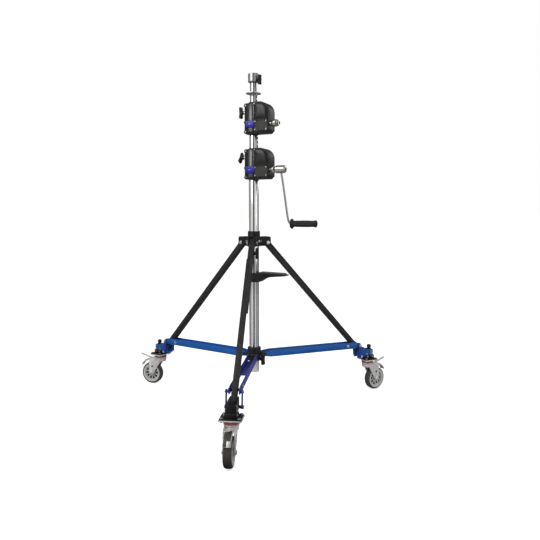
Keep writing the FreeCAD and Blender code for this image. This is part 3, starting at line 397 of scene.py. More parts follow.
VIOLET = Finish("violet_blue_powder_coat", "blue_paint", (0.030, 0.040, 0.310), 0.36, smear=0.12, mottle=0.14,
                specular=0.30, grain_scale=800.0, grit=0.5, bump=0.14, wear=0.25, chips=0.03,
                wear_colour=(0.16, 0.17, 0.34), dust=0.03)
BADGE = Finish("badge_enamel", "blue_paint", (0.016, 0.010, 0.30), 0.30, smear=0.08, mottle=0.10,
               specular=0.35, bump=0.05)
BADGE_MARK = Finish("badge_inlay", "blue_paint", (0.20, 0.22, 0.62), 0.30, smear=0.08, mottle=0.10, bump=0.05)
ZINC = Finish("zinc_pressing", "zinc_steel", (0.78, 0.77, 0.75), 0.40, 0.45, smear=0.20, mottle=0.12,
              bump=0.08, wear=0.2, wear_colour=(0.24, 0.22, 0.19), dust=0.10, dust_colour=(0.50, 0.47, 0.44))
CREAM = Finish("cream_end_sleeve", "grey_hub", (0.74, 0.73, 0.65), 0.35, smear=0.10, mottle=0.06, bump=0.05,
               dust=0.06, dust_colour=(0.5, 0.48, 0.42))
TYRE = Finish("grey_tyre_rubber", "grey_tyre", (0.075, 0.068, 0.058), 0.72, smear=0.12, mottle=0.18,
              specular=0.25, grain_scale=1300.0, grit=0.8, bump=0.35, chips=0.08,
              wear_colour=(0.16, 0.145, 0.13), dust=0.10, dust_colour=(0.22, 0.20, 0.17))
WHEEL = Finish("wheel_hub_moulding", "grey_hub", (0.62, 0.63, 0.61), 0.42, smear=0.12, mottle=0.07,
               bump=0.10, dust=0.10, dust_colour=(0.30, 0.28, 0.25))
PEDAL = Finish("pedal_tread_rubber", "grey_pedal", (0.070, 0.067, 0.062), 0.60, smear=0.15, mottle=0.20,
               specular=0.25, bump=0.25, wear=0.5, chips=0.08, wear_colour=(0.3, 0.29, 0.27), dust=0.08)
LEVER = Finish("pedal_zinc_lever", "grey_pedal", (0.76, 0.75, 0.73), 0.40, 0.45, smear=0.2, mottle=0.14,
               bump=0.10, wear=0.3, wear_colour=(0.26, 0.24, 0.22), dust=0.10, dust_colour=(0.5, 0.47, 0.44))
SEAL = Finish("swivel_seal_red", "grey_pedal", (0.40, 0.115, 0.120), 0.55, smear=0.1, mottle=0.15,
              bump=0.12, dust=0.25, dust_colour=(0.55, 0.40, 0.40))
RIM = Finish("swivel_race_zinc", "zinc_steel", (0.66, 0.65, 0.63), 0.30, 0.7, smear=0.12, mottle=0.08,
             bump=0.05)


# ---------------------------------------------------------------- mesh helpers

def shade(mesh: bpy.types.Mesh, angle: float = 32.0) -> None:
    """Smooth shading with sharp edges past an angle.

    Args:
        mesh: the mesh to shade.
        angle: the angle, in degrees.
    """
    mesh.shade_smooth()
    mesh.set_sharp_from_angle(angle=math.radians(angle))


def finish_piece(bm: Mesh, name: str, body: str, finish: Finish,
                 place: Matrix | None = None, nodes: Iterable[str] = (),
                 sharp: float = 32.0) -> bpy.types.Object:
    """Turn a bmesh into a dressed piece that rides on a body.

    Args:
        bm: the mesh; it is freed.
        name: name of the piece.
        body: CAD body it rides on.
        finish: its surface.
        place: transform from the piece's own frame to the stand's.
        nodes: CAD nodes it stands for.
        sharp: angle past which an edge is sharp, in degrees.

    Returns:
        The piece.
    """
    if place is not None:
        bmesh.ops.transform(bm, matrix=place, verts=bm.verts)
    bmesh.ops.recalc_face_normals(bm, faces=bm.faces)
    mesh = bpy.data.meshes.new(name)
    bm.to_mesh(mesh)
    bm.free()
    shade(mesh, sharp)
    piece = bpy.data.objects.new(name, mesh)
    bpy.context.scene.collection.objects.link(piece)
    mesh.materials.append(finish.material())
    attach(piece, body)
    if nodes:
        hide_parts(*nodes)
    log.info("%s rides on %s", name, body)
    return piece


def bevel(bm: Mesh, edges: Iterable[bmesh.types.BMEdge], width: float, segments: int = 2) -> None:
    """Round edges of a mesh.

    Args:
        bm: the mesh.
        edges: the edges to round.
        width: width of the rounding, in metres.
        segments: steps across it.
    """
    bmesh.ops.bevel(bm, geom=list(edges), offset=width, offset_type="OFFSET", segments=segments,
                    profile=0.5, affect="EDGES", material=-1, clamp_overlap=True)


def corner_edges(bm: Mesh, angle: float = 30.0) -> list[bmesh.types.BMEdge]:
    """Edges between two faces that turn by more than an angle.

    Args:
        bm: the mesh.
        angle: the angle, in degrees.

    Returns:
        The edges.
    """
    limit = math.radians(angle)
    return [e for e in bm.edges if len(e.link_faces) == 2 and e.calc_face_angle(0.0) > limit]


def block(size: Sequence[float], centre: Sequence[float], round_by: float = 0.0,
          segments: int = 3) -> Mesh:
    """A box with rounded edges.

    Args:
        size: its three sides.
        centre: its centre.
        round_by: radius of the edges.
        segments: steps in each rounded edge.

    Returns:
        The mesh.
    """
    bm = bmesh.new()
    bmesh.ops.create_cube(bm, size=1.0)
    bmesh.ops.scale(bm, vec=Vector(size), verts=bm.verts)
    if round_by:
        bevel(bm, bm.edges, round_by, segments)
    bmesh.ops.translate(bm, vec=Vector(centre), verts=bm.verts)
    return bm


def lathe(profile: Sequence[tuple[float, float]], steps: int = 64) -> Mesh:
    """A solid of revolution about +X.

    Args:
        profile: (along, radius) points; a closed ring if the first is repeated last.
        steps: steps of the full turn.

    Returns:
        The mesh, seams and poles closed.
    """
    bm = bmesh.new()
    verts = [bm.verts.new((x, 0.0, r)) for x, r in profile]
    edges = [bm.edges.new(pair) for pair in zip(verts, verts[1:])]
    bmesh.ops.spin(bm, geom=verts + edges, cent=(0, 0, 0), axis=(1, 0, 0), angle=FULL_TURN, steps=steps,
                   use_merge=True, use_duplicate=False)
    bmesh.ops.remove_doubles(bm, verts=bm.verts, dist=1e-6)
    return bm


def join(*parts: Mesh) -> Mesh:
    """Gather several meshes into the first; the others are freed."""
    whole = parts[0]
    for part in parts[1:]:
        spare = bpy.data.meshes.new("spare")
        part.to_mesh(spare)
        part.free()
        whole.from_mesh(spare)
        bpy.data.meshes.remove(spare)
    return whole


def moved(bm: Mesh, place: Matrix) -> Mesh:
    """The same mesh carried by a matrix.

    Args:
        bm: the mesh.
        place: the matrix.

    Returns:
        The mesh.
    """
    bmesh.ops.transform(bm, matrix=place, verts=bm.verts)
    return bm


def merged_copy(node: str) -> Mesh:
    """A copy of a CAD node's mesh with its doubles merged and its flat faces joined."""
    bm = bmesh.new()
    bm.from_mesh(frame["nodes"][node].data)
    bmesh.ops.remove_doubles(bm, verts=bm.verts, dist=2e-6)
    bmesh.ops.dissolve_limit(bm, angle_limit=math.radians(0.6), verts=bm.verts, edges=bm.edges)
    return bm


def refined(node: str, finish: Finish, round_by: float = 0.0006, sharp: float = 32.0) -> bpy.types.Object:
    """A CAD part with softened edges and its finish.

    Args:
        node: the CAD node it stands for.
        finish: its surface.
        round_by: radius of the softened edges, in metres.
        sharp: edge angle that stays sharp, in degrees.

    Returns:
        The piece.
    """
    bm = merged_copy(node)
    if round_by:
        bevel(bm, corner_edges(bm), round_by)
    body = frame["nodes"][node]["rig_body"]
    return finish_piece(bm, f"{node}_piece", body, finish, nodes=[node], sharp=sharp)


def islands(node: str) -> list[tuple[Vector, Vector]]:
    """Lowest and highest corners of each loose solid of a CAD node."""
    bm = bmesh.new()
    bm.from_mesh(frame["nodes"][node].data)
    bmesh.ops.remove_doubles(bm, verts=bm.verts, dist=2e-6)
    found: list[tuple[Vector, Vector]] = []
    seen: set[int] = set()
    bm.verts.index_update()
    for start in bm.verts:
        if start.index in seen:
            continue
        stack, members = [start], []
        seen.add(start.index)
        while stack:
            vert = stack.pop()
            members.append(vert.co.copy())
            for edge in vert.link_edges:
                other = edge.other_vert(vert)
                if other.index not in seen:
                    seen.add(other.index)
                    stack.append(other)
        low = Vector(min(p[i] for p in members) for i in range(3))
        high = Vector(max(p[i] for p in members) for i in range(3))
        found.append((low, high))
    bm.free()
    return found


def joint(name: str) -> dict:
    """A joint of the frame by its name."""
    return next(j for j in frame["joints"] if j["name"] == name)


def joint_place(name: str) -> Vector:
    """Where a joint is, in metres."""
    return Vector(joint(name)["pos_m"])


def facing(direction: Vector, at: Vector, up: Vector = Vector((0, 0, 1))) -> Matrix:
    """A placement whose +X lies along a direction and whose +Z stays near up.

    Args:
        direction: where +X goes.
        at: where the origin goes.
        up: where +Z leans.

    Returns:
        The matrix.
    """
    x = direction.normalized()
    y = up.cross(x).normalized()
    z = x.cross(y)
    turn = Matrix((x, y, z)).transposed().to_4x4()
    return Matrix.Translation(at) @ turn


def smooth_path(corners: Sequence[Vector], rounds: int = 3) -> list[Vector]:
    """Round a path by cutting its corners, its ends kept.

    Args:
        corners: points of the path.
        rounds: how many times the corners are cut.

    Returns:
        The points of the rounded path.
    """
    path = list(corners)
    for _ in range(rounds):
        cut = [path[0]]
        for here, after in zip(path, path[1:]):
            cut += [here.lerp(after, 0.25), here.lerp(after, 0.75)]
        path = cut + [path[-1]]
    return path


def screw_head(radius: float, height: float) -> Mesh:
    """A socket cap screw head that rises along +X from the origin.

    Args:
        radius: radius of the head.
        height: height of the head.

    Returns:
        The mesh.
    """
    socket, depth, soft = radius * 0.52, height * 0.6, height * 0.16
    head = lathe([(0, 0), (0, radius), (height - soft, radius), (height, radius - soft), (height, socket),
                  (height - depth, socket * 0.96), (height - depth, 0)], 24)
    return head


def hex_head(radius: float, height: float) -> Mesh:
    """A hexagon bolt head on its washer, rising along +X from the origin.

    Args:
        radius: radius over the corners.
        height: height with the washer.

    Returns:
        The mesh.
    """
    washer = lathe([(0, 0), (0, radius * 1.22), (height * 0.2, radius * 1.22), (height * 0.2, 0)], 28)
    nut = bmesh.new()
    bmesh.ops.create_cone(nut, cap_ends=True, cap_tris=False, segments=6, radius1=radius, radius2=radius,
                          depth=height * 0.8)
    bevel(nut, [e for e in nut.edges if abs(e.verts[0].co.z - e.verts[1].co.z) < 1e-6], height * 0.12, 2)
    moved(nut, Matrix.Translation((height * 0.6, 0, 0)) @ Matrix.Rotation(math.pi / 2, 4, "Y"))
    return join(washer, nut)


# ---------------------------------------------------------------- column

@dataclass
class Column:
    """The three tubes, the stop flange and the head socket."""

    tubes: dict[str, float] = field(default_factory=lambda: {
        "outer_tube": 2.5 * MM, "middle_tube": 2.5 * MM, "top_tube": 2.0 * MM})
    tones: dict[str, tuple[float, float]] = field(default_factory=lambda: {
        "outer_tube": (0.68, 0.09), "middle_tube": (0.58, 0.12), "top_tube": (0.38, 0.25)})

    def build(self) -> None:
        """Dress the tubes and the head."""
        for node, wall in self.tubes.items():
            low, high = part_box(node)
            tone, dullness = self.tones[node]
            # The bore radius sets where the tube's inside is painted near-black as shade.
            bore_shaded_chrome = replace(CHROME, name=f"chrome_{node}", colour=(tone, tone * 0.985, tone * 0.96),
                            roughness=dullness, bore=(high.x - low.x) / 2 - wall * 0.5)
            refined(node, bore_shaded_chrome, 0.0003, sharp=40)
        refined("stop_flange", BRIGHT, 0.0006)
        dulled = replace(BRIGHT, name="socket_steel", colour=(0.36, 0.36, 0.352), roughness=0.38)
        refined("top_socket", dulled, 0.0005)
        self._seams()

    def _seams(self) -> None:
        """A rolled lip inside the foot of the outer tube, and a black disc on the socket painted as the shade
        of a cross pin hole.
        """
        low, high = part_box("outer_tube")
        radius = (high.x - low.x) / 2
        lip = lathe([(0, radius - 2.4 * MM), (0, radius - 6 * MM), (2 * MM, radius - 6 * MM),
                     (14 * MM, radius - 5 * MM), (14 * MM, radius - 2.4 * MM), (0, radius - 2.4 * MM)], 48)
        foot = facing(Vector((0, 0, 1)), Vector((0, 0, low.z)), Vector((0, 1, 0)))
        finish_piece(lip, "foot_end_ring", "column", KNOB, foot)
        sleeve = lathe([(0, radius - 1 * MM), (0, radius + 0.1 * MM), (1.2 * MM, radius + 0.7 * MM),
                        (57 * MM, radius + 0.7 * MM), (58 * MM, radius), (58 * MM, radius - 1 * MM),
                        (0, radius - 1 * MM)], 64)
        finish_piece(sleeve, "foot_end_sleeve", "column", CREAM, foot)
        head_low, head_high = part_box("top_socket")
        at = Vector((0, 0, head_high.z - 14 * MM))
        way = Vector((math.cos(math.radians(-118)), math.sin(math.radians(-118)), 0))
        # Painted shade: a thin black disc on the socket stands for the dark cross pin hole.
        pin = lathe([(0, 0), (0, 2.6 * MM), (0.5 * MM, 2.6 * MM), (0.5 * MM, 0)], 20)
        finish_piece(pin, "socket_cross_hole_shade", "top_riser", KNOB,
                     facing(way, at + way * ((head_high.x - head_low.x) / 2 - 0.35 * MM)))


# ---------------------------------------------------------------- gearboxes

@dataclass
class Gearbox:
    """One crank gearbox with its covers, ribs, badge, screws and hub."""

    stage: Stage
    body: str
    cover: tuple[float, float, float, float] = (22.0, 92.5, 18.6, 100.0)
    dome_steps: tuple[tuple[float, float], ...] = (
        (0.975, 0.9), (0.94, 1.2), (0.90, 1.3), (0.86, 1.0), (0.90, 0.6), (0.80, 0.6), (0.6, 0.4))
    badge_size: tuple[float, float] = (48 * MM, 33 * MM)
    swell_radius: float = 38.6 * MM
    swell_half: float = 15.5 * MM
    front: float = field(init=False)
    level: float = field(init=False)
    low: Vector = field(init=False)
    high: Vector = field(init=False)

    def __post_init__(self) -> None:
        """Read the case's box and the crank axis from the frame."""
        self.low, self.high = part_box(f"{self.stage.value}_gear_case")
        self.level = joint_place(f"{self.stage.value}_crank_turn").z
        self.front = -34 * MM

    def build(self) -> None:
        """Dress the case and add its cover, ribs, badge and screws."""
        name = self.stage.value
        refined(f"{name}_gear_case", CAST, 0.0016)
        refined(f"{name}_worm_cover", PLATE, 0.0006)
        refined(f"{name}_drive_sprocket", GEAR, 0.0003)
        refined(f"{name}_worm_wheel", BRONZE, 0.0002)
        refined(f"{name}_worm_shaft", GEAR, 0.0)
        self._cover()
        self._hub()
        self._screws()
        self._ribs()
        self._badge()

    def _cover(self) -> None:
        """Glossy D-shaped gear cover: flat on the left, rounded at the top right, gently domed."""
        left, right, low, top = (v * MM for v in self.cover)
        rise = 3.2 * MM
        bm = block((right - left, rise * 2, top - low),
                   ((left + right) / 2, self.front, self.level + (low + top) / 2))
        along = [e for e in bm.edges if abs(e.verts[0].co.y - e.verts[1].co.y) > rise]
        for edge in list(along):
            spot = edge.verts[0].co
            wide = spot.x > (left + right) / 2 and spot.z > self.level + (low + top) / 2
            bevel(bm, [edge], 44 * MM if wide else 5 * MM, 18 if wide else 4)
        face = min(bm.faces, key=lambda f: f.calc_center_median().y)
        for share, push in self.dome_steps:
            centre = face.calc_center_median()
            grown = bmesh.ops.extrude_discrete_faces(bm, faces=[face])
            face = grown["faces"][0]
            bmesh.ops.scale(bm, vec=(share, 1, share), space=Matrix.Translation(-centre), verts=face.verts)
            bmesh.ops.translate(bm, vec=(0, -push * MM, 0), verts=face.verts)
        finish_piece(bm, f"{self.stage.value}_gear_dome", self.body, GLOSS,
                     nodes=[f"{self.stage.value}_gear_cover"], sharp=34)
        # Painted shadow: a black strip under the dome stands for the shadow in the gap above the worm cover
        # plate.
        seam = block((right - left + 1 * MM, 4.4 * MM, 4.6 * MM),
                     ((left + right) / 2, self.front - 3.0 * MM, self.level + low + 0.8 * MM), 0.4 * MM)
        finish_piece(seam, f"{self.stage.value}_cover_gap_shadow", self.body, KNOB)

    def _hub(self) -> None:
        """Turned hub: a neck that swells to a collar; when its end is empty, a black sleeve in its bore
        paints the shade there.
        """
        name = self.stage.value
        low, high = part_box(f"{name}_crank_hub")
        length = high.x - low.x
        rings = [(0.0, 6.2), (0.0, 9.5), (0.06, 10.5), (0.16, 10.5), (0.20, 13.0), (0.34, 16.0), (0.50, 17.8),
                 (0.66, 17.8), (0.70, 16.8), (0.86, 14.6), (0.97, 13.4), (1.0, 12.4)]
        if self.stage is Stage.UPPER:
            rings += [(1.0, 8.6), (0.985, 8.0), (0.60, 7.4)]
        rings += [(0.60 if self.stage is Stage.UPPER else 1.0, 6.2), (0.0, 6.2)]
        bm = lathe([(x * length, radius * MM) for x, radius in rings], 64)
        axis = joint_place(f"{name}_crank_turn")
        at = Vector((low.x, axis.y, axis.z))
        finish_piece(bm, f"{name}_hub_turned", f"{name}_worm", HUB, facing(Vector((1, 0, 0)), at),
                     nodes=[f"{name}_crank_hub"], sharp=30)
        if self.stage is Stage.UPPER:
            # Painted shade: a black sleeve lines the empty bore, where shade falls.
            bore = lathe([(0.62 * length, 0), (0.62 * length, 7.3 * MM), (0.95 * length, 7.9 * MM),
                          (0.95 * length, 7.0 * MM), (0.70 * length, 6.4 * MM), (0.70 * length, 0)], 40)
            finish_piece(bore, f"{name}_hub_bore_shade", f"{name}_worm", KNOB, facing(Vector((1, 0, 0)), at))

    def _screws(self) -> None:
        """Socket screws on the seam, the tabs and the worm cover."""
        node = f"{self.stage.value}_case_bolts"
        heads = []
        for low, high in islands(node):
            middle = (low + high) / 2
            radius = (high.x - low.x) / 2 * 0.84
            at = Vector((middle.x, high.y, middle.z))
            heads.append(moved(screw_head(radius, 3.6 * MM), facing(Vector((0, -1, 0)), at)))
        finish_piece(join(*heads), f"{self.stage.value}_case_screws", self.body, SCREW, nodes=[node])

    def _ribs(self) -> None:
        """Flutes on the clamp, screw lugs on its edge, a thin light steel strip down the front and ribs on
        the back.
        """
        name = self.stage.value
        foot, top = self.low.z, self.level + 103 * MM
        span, middle = top - foot, (top + foot) / 2
        tall = span * 0.62
        parts = [block((2.6 * MM, 4 * MM, tall), (x * MM, self.front + 2.6 * MM, middle + 14 * MM), 1.1 * MM)
                 for x in (-29.5, -25.0, -20.5)]
        for z in (self.level - 34 * MM, self.level + 12 * MM, self.level + 93 * MM):
            lug = lathe([(0, 0), (0, 7.5 * MM), (9 * MM, 7.5 * MM), (9 * MM, 0)], 28)
            parts.append(moved(lug, facing(Vector((0, 1, 0)), Vector((-30 * MM, self.front + 1 * MM, z)))))
        cap = lathe([(0, 0), (0, 17 * MM), (3 * MM, 19 * MM), (9 * MM, 19 * MM), (9 * MM, 0)], 48)
        parts.append(moved(cap, facing(Vector((0, 1, 0)), Vector((0, self.front - 2.5 * MM, top - 14 * MM)))))
        swell = lathe([(foot + 6 * MM, 0), (foot + 6 * MM, 36 * MM), (foot + 9 * MM, self.swell_radius),
                       (top - 6 * MM, self.swell_radius), (top - 1 * MM, 35 * MM), (top - 1 * MM, 0)], 96)
        for side in (-1, 1):
            bmesh.ops.bisect_plane(swell, geom=swell.verts[:] + swell.edges[:] + swell.faces[:],
                                   plane_co=(0, side * self.swell_half, 0), plane_no=(0, side, 0),
                                   clear_outer=True)
        bmesh.ops.bisect_plane(swell, geom=swell.verts[:] + swell.edges[:] + swell.faces[:],
                               plane_co=(0, 0, 30 * MM), plane_no=(0, 0, -1), clear_outer=True)
        bmesh.ops.holes_fill(swell, edges=[e for e in swell.edges if e.is_boundary], sides=0)
        finish_piece(swell, f"{name}_clamp_swell", self.body,
                     replace(GLOSS, name="clamp_gloss", roughness=0.22, specular=0.7),
                     facing(Vector((0, 0, 1)), Vector((0, 0, 0)), Vector((0, -1, 0))), sharp=40)
        finish_piece(join(*parts), f"{name}_case_ribs", self.body, CAST)
        back = [block((2.6 * MM, 4 * MM, span * 0.8), (x * MM, self.high.y - 0.6 * MM, middle), 1.0 * MM)
                for x in (-24, -14, -4)]
        back += [block((60 * MM, 4 * MM, 2.6 * MM), (58 * MM, 33.4 * MM, self.level + z * MM), 1.0 * MM)
                 for z in (-20, 0, 20, 40)]
        finish_piece(join(*back), f"{name}_case_back_ribs", self.body, CAST)
        # A thin light steel strip down the front of the case, between the clamp and the cover.
        strip = block((1.2 * MM, 1.6 * MM, tall), (17.6 * MM, self.front - 0.6 * MM, middle + 18 * MM),
                      0.4 * MM)
        finish_piece(strip, f"{name}_front_steel_strip", self.body, SCREW)

    def _badge(self) -> None:
        """A plain enamelled plate with a pale oval, no lettering."""
        name = self.stage.value
        wide, tall = self.badge_size
        centre = Vector((-3.2 * MM, self.front - 5.2 * MM, self.level + 1.5 * MM))
        seat = block((wide + 3 * MM, 8 * MM, tall + 3 * MM), centre + Vector((0, 3.4 * MM, 0)), 1.6 * MM)
        finish_piece(seat, f"{name}_badge_seat", self.body, CAST)
        plate = block((wide, 1.6 * MM, tall), centre + Vector((0, -0.9 * MM, 0)), 0.7 * MM)
        finish_piece(plate, f"{name}_badge_plate", self.body, BADGE)
        oval = lathe([(0, 0), (0, 5.0 * MM), (0.5 * MM, 4.4 * MM), (0.5 * MM, 0)], 40)
        stretch = Matrix.Diagonal((1, 1.7, 0.55, 1))
        finish_piece(moved(oval, stretch), f"{name}_badge_oval", self.body, BADGE_MARK,
                     facing(Vector((0, -1, 0)), centre + Vector((0, -1.6 * MM, 0))))


def tube_along(path: Sequence[Vector], radius: float, steps: int = 20) -> Mesh:
    """A round bar that follows a path in an upright plane, its ends closed.

    Args:
        path: points of its centre line, all with the same Y.
        radius: radius of the bar.
        steps: corners of its section.

    Returns:
        The mesh.
    """
    bm = bmesh.new()
    rings = []
    for index, point in enumerate(path):
        before, after = path[max(index - 1, 0)], path[min(index + 1, len(path) - 1)]
        place = facing(after - before, point, Vector((0, 1, 0)))
        made = bmesh.ops.create_circle(bm, segments=steps, radius=radius, cap_ends=False,
                                       matrix=place @ Matrix.Rotation(math.pi / 2, 4, "Y"))
        rings.append(made["verts"])
    edges = [[e for e in bm.edges if e.verts[0] in set(ring) and e.verts[1] in set(ring)] for ring in rings]
    for near, far in zip(edges, edges[1:]):
        bmesh.ops.bridge_loops(bm, edges=near + far)
    for ring in (edges[0], edges[-1]):
        bmesh.ops.holes_fill(bm, edges=ring, sides=steps)
    return bm


@dataclass
class Crank:
    """The crank arm and its turning grip."""

    flutes: int = 12
    flute_depth: float = 1.2 * MM
    boss: float = 19.0 * MM

    def build(self) -> None:
        """Shape the boss, the bent rod and the grip."""
        self._arm()
        self._grip()

    def _arm(self) -> None:
        """Boss with turned grooves, and a rod that bends into the grip's spindle."""
        axis = joint_place("lower_crank_turn")
        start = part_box("lower_crank_hub")[1].x
        low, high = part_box("crank_grip")
        level = (low.z + high.z) / 2
        edge = 2 * MM
        r, length = self.boss, 49.5 * MM
        groove = r - 1.2 * MM
        profile = [(0, 0), (0, r - edge), (edge, r), (8 * MM, r), (9 * MM, groove), (11 * MM, groove),
                   (12 * MM, r), (36 * MM, r), (37 * MM, groove), (39 * MM, groove), (40 * MM, r),
                   (length - 5 * MM, r),
                   (length - 1.5 * MM, r - 3 * MM), (length, r - 7 * MM), (length, 5 * MM),
                   (length - 3 * MM, 5 * MM), (length - 3 * MM, 0)]
        boss = lathe(profile, 64)
        finish_piece(boss, "crank_boss_turned", "lower_worm", HUB,
                     facing(Vector((1, 0, 0)), Vector((start + 0.1 * MM, axis.y, axis.z))), sharp=30)
        falls = [(axis.z, run) for run in ((160, -8), (162, -24), (169, -60), (190, -200))]
        turns = [(level, run) for run in ((196, 26), (200, 10), (207, 2), (219, 0), (320, 0))]
        path = smooth_path([Vector((x * MM, axis.y, start_z + z * MM)) for start_z, (x, z) in falls + turns])
        finish_piece(tube_along(path, 4.95 * MM), "crank_rod_bent", "lower_worm", ROD, nodes=["crank_arm"])

    def _grip(self) -> None:
        """The fluted grip with its hand guard and end lip."""
        low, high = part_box("crank_grip")
        length = high.x - low.x
        bore, barrel, guard = 5.4 * MM, 15.6 * MM, (high.z - low.z) / 2
        neck = 12 * MM
        profile = [(0, bore), (0, guard - 6 * MM), (1.6 * MM, guard - 1.4 * MM), (4.5 * MM, guard),
                   (6.5 * MM, guard - 1.2 * MM), (8.5 * MM, guard - 7 * MM), (neck, barrel)]
        steps = 18
        for step in range(steps + 1):
            share = step / steps
            swell = 1.0 * MM * math.sin(math.pi * share)
            profile.append((neck + (length - neck - 12 * MM) * share, barrel - 0.3 * MM + swell))
        lip = 17.8 * MM
        profile += [(length + back * MM, radius) for back, radius in (
            (-9, lip - 0.8 * MM), (-6, lip), (-2, lip - 0.8 * MM), (0, lip - 4 * MM), (0, 6.5 * MM),
            (-2, 6 * MM), (-2, 0))]
        bm = lathe(profile, 96)
        inner, outer = neck + 4 * MM, length - 14 * MM
        for vert in bm.verts:
            radius = math.hypot(vert.co.y, vert.co.z)
            if inner < vert.co.x < outer and radius > barrel - 2 * MM:
                angle = math.atan2(vert.co.z, vert.co.y)
                dip = self.flute_depth * (0.5 + 0.5 * math.cos(self.flutes * angle))
                vert.co.y *= (radius - dip) / radius
                vert.co.z *= (radius - dip) / radius
        at = Vector((low.x, (low.y + high.y) / 2, (low.z + high.z) / 2))
        finish_piece(bm, "crank_grip_fluted", "crank_grip", GRIP, facing(Vector((1, 0, 0)), at),
                     nodes=["crank_grip"], sharp=50)


@dataclass
class WingKnob:
    """A moulded wing knob on a steel stem, shaped to fill its CAD node."""

    node: str
    hinge: str
    reach: float
    roll: float = 0.0
    start: float = 0.0
    span: float = 1.0

    def build(self) -> None:
        """Model the wings, neck and stem about the knob's own axis."""
        turn = joint(self.hinge)
        axis = Vector(turn["axis"]).normalized()
        at = Vector(turn["pos_m"])
        span = self.span
        wings = block((15 * MM * span, 25 * MM * span, 56 * MM * span), (0, 0, 0), 6.2 * MM * span, 4)
        bmesh.ops.bisect_plane(wings, geom=wings.verts[:] + wings.edges[:] + wings.faces[:],
                               plane_co=(0, 0, 0), plane_no=(0, 0, 1))
        for vert in wings.verts:
            share = abs(vert.co.z) / (28 * MM)
            waist = 0.74 + 0.26 * min(1.0, share * 1.5)
            vert.co.y *= waist
            vert.co.x += 1.6 * MM * share * share
        wings = moved(wings, Matrix.Translation((self.reach + 6 * MM, 0, 0)))
        neck = lathe([(self.reach - 9 * MM, 0), (self.reach - 9 * MM, 8 * MM), (self.reach - 7 * MM, 9 * MM),
                      (self.reach + 3 * MM, 10 * MM), (self.reach + 12.4 * MM, 8.6 * MM),
                      (self.reach + 13 * MM, 7 * MM), (self.reach + 13 * MM, 0)], 36)
        roll = Matrix.Rotation(math.radians(self.roll), 4, "X")
        place = facing(axis, at) @ roll
        body = frame["nodes"][self.node]["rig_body"]
        finish_piece(join(wings, neck), f"{self.node}_wings", body, KNOB, place, nodes=[self.node], sharp=40)
        stem = lathe([(self.start, 0), (self.start, 4.2 * MM), (self.start + 1 * MM, 4.95 * MM),
                      (self.reach - 8 * MM, 4.95 * MM), (self.reach - 8 * MM, 0)], 24)
        finish_piece(stem, f"{self.node}_stem", body, BRIGHT, place)


# ---------------------------------------------------------------- tripod

def azimuth_of(side: Side) -> float:
    """Direction of an arm about the column, in radians."""
    spot = joint_place(f"{side.value}_caster_swivel")
    return math.atan2(spot.y, spot.x)


def arm_place(side: Side, reach: float = 0.0, level: float = 0.0) -> Matrix:
    """Placement with +X outward along an arm, +Z up.

    Args:
        side: the arm.
        reach: distance from the column's axis.
        level: height.

    Returns:
        The matrix.
    """
    return Matrix.Rotation(azimuth_of(side), 4, "Z") @ Matrix.Translation((reach, 0, level))


@dataclass
class LegCollar:
    """The fixed collar with its pivot bolts and clamp screws."""

    clamp_screw: float = 5.8 * MM

    def build(self) -> None:
        """Dress the collar and its bolts."""
        refined("leg_collar", CAST, 0.0014)
        heads = []
        for side in Side:
            pivot = joint_place(f"{side.value}_leg_fold")
            axis = Vector(joint(f"{side.value}_leg_fold")["axis"])
            for sign in (-1, 1):
                seat = pivot + axis * sign * 21.2 * MM
                heads.append(moved(hex_head(7.4 * MM, 5.6 * MM), facing(axis * sign, seat)))
        finish_piece(join(*heads), "leg_pivot_hex_heads", "column", BRIGHT)
        refined("leg_pivot_bolts", BRIGHT, 0.0)
        low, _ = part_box("leg_collar")
        screws = []
        for side in Side:
            for offset in (-26, 26):
                way = azimuth_of(side) + math.radians(60 + offset / 2)
                out = Vector((math.cos(way), math.sin(way), 0))
                at = out * (37.6 * MM) + Vector((0, 0, low.z + 25 * MM))
                screws.append(moved(screw_head(self.clamp_screw, 4 * MM), facing(out, at)))
        finish_piece(join(*screws), "leg_collar_clamp_screws", "column", BRIGHT)


@dataclass
class Shelf:
    """The clamp-on side shelf with its toothed tray."""

    teeth: int = 16

    def build(self) -> None:
        """Dress the shelf, add the rows of teeth and the clamp screws."""
        refined("side_shelf", CAST, 0.0012)
        low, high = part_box("side_shelf")
        inner = 40 * MM
        pitch = (high.x - inner - 8 * MM) / self.teeth
        half = (high.y - low.y) / 2
        parts = []
        for step in range(self.teeth):
            x = inner + pitch * (step + 0.5)
            drop = 4 * MM * (x / high.x)
            bar = block((pitch * 0.42, half * 1.5, 9.0 * MM), (x, 0, high.z - drop + 2.6 * MM), 1.6 * MM, 2)
            parts.append(bar)
        # The teeth are coloured a paler grey than the cast body.
        worn = replace(CAST, name="shelf_teeth_pale", colour=(0.15, 0.148, 0.14), roughness=0.5)
        finish_piece(join(*parts), "shelf_tray_teeth", "column", worn)
        heads = [moved(screw_head(4.6 * MM, 4 * MM),
                       facing(Vector((0, -1, 0)), Vector((x * MM, low.y + 0.4 * MM, z))))
                 for x, z in ((-22, high.z - 12 * MM), (-22, low.z + 12 * MM))]
        finish_piece(join(*heads), "shelf_clamp_screws", "column", BRIGHT)


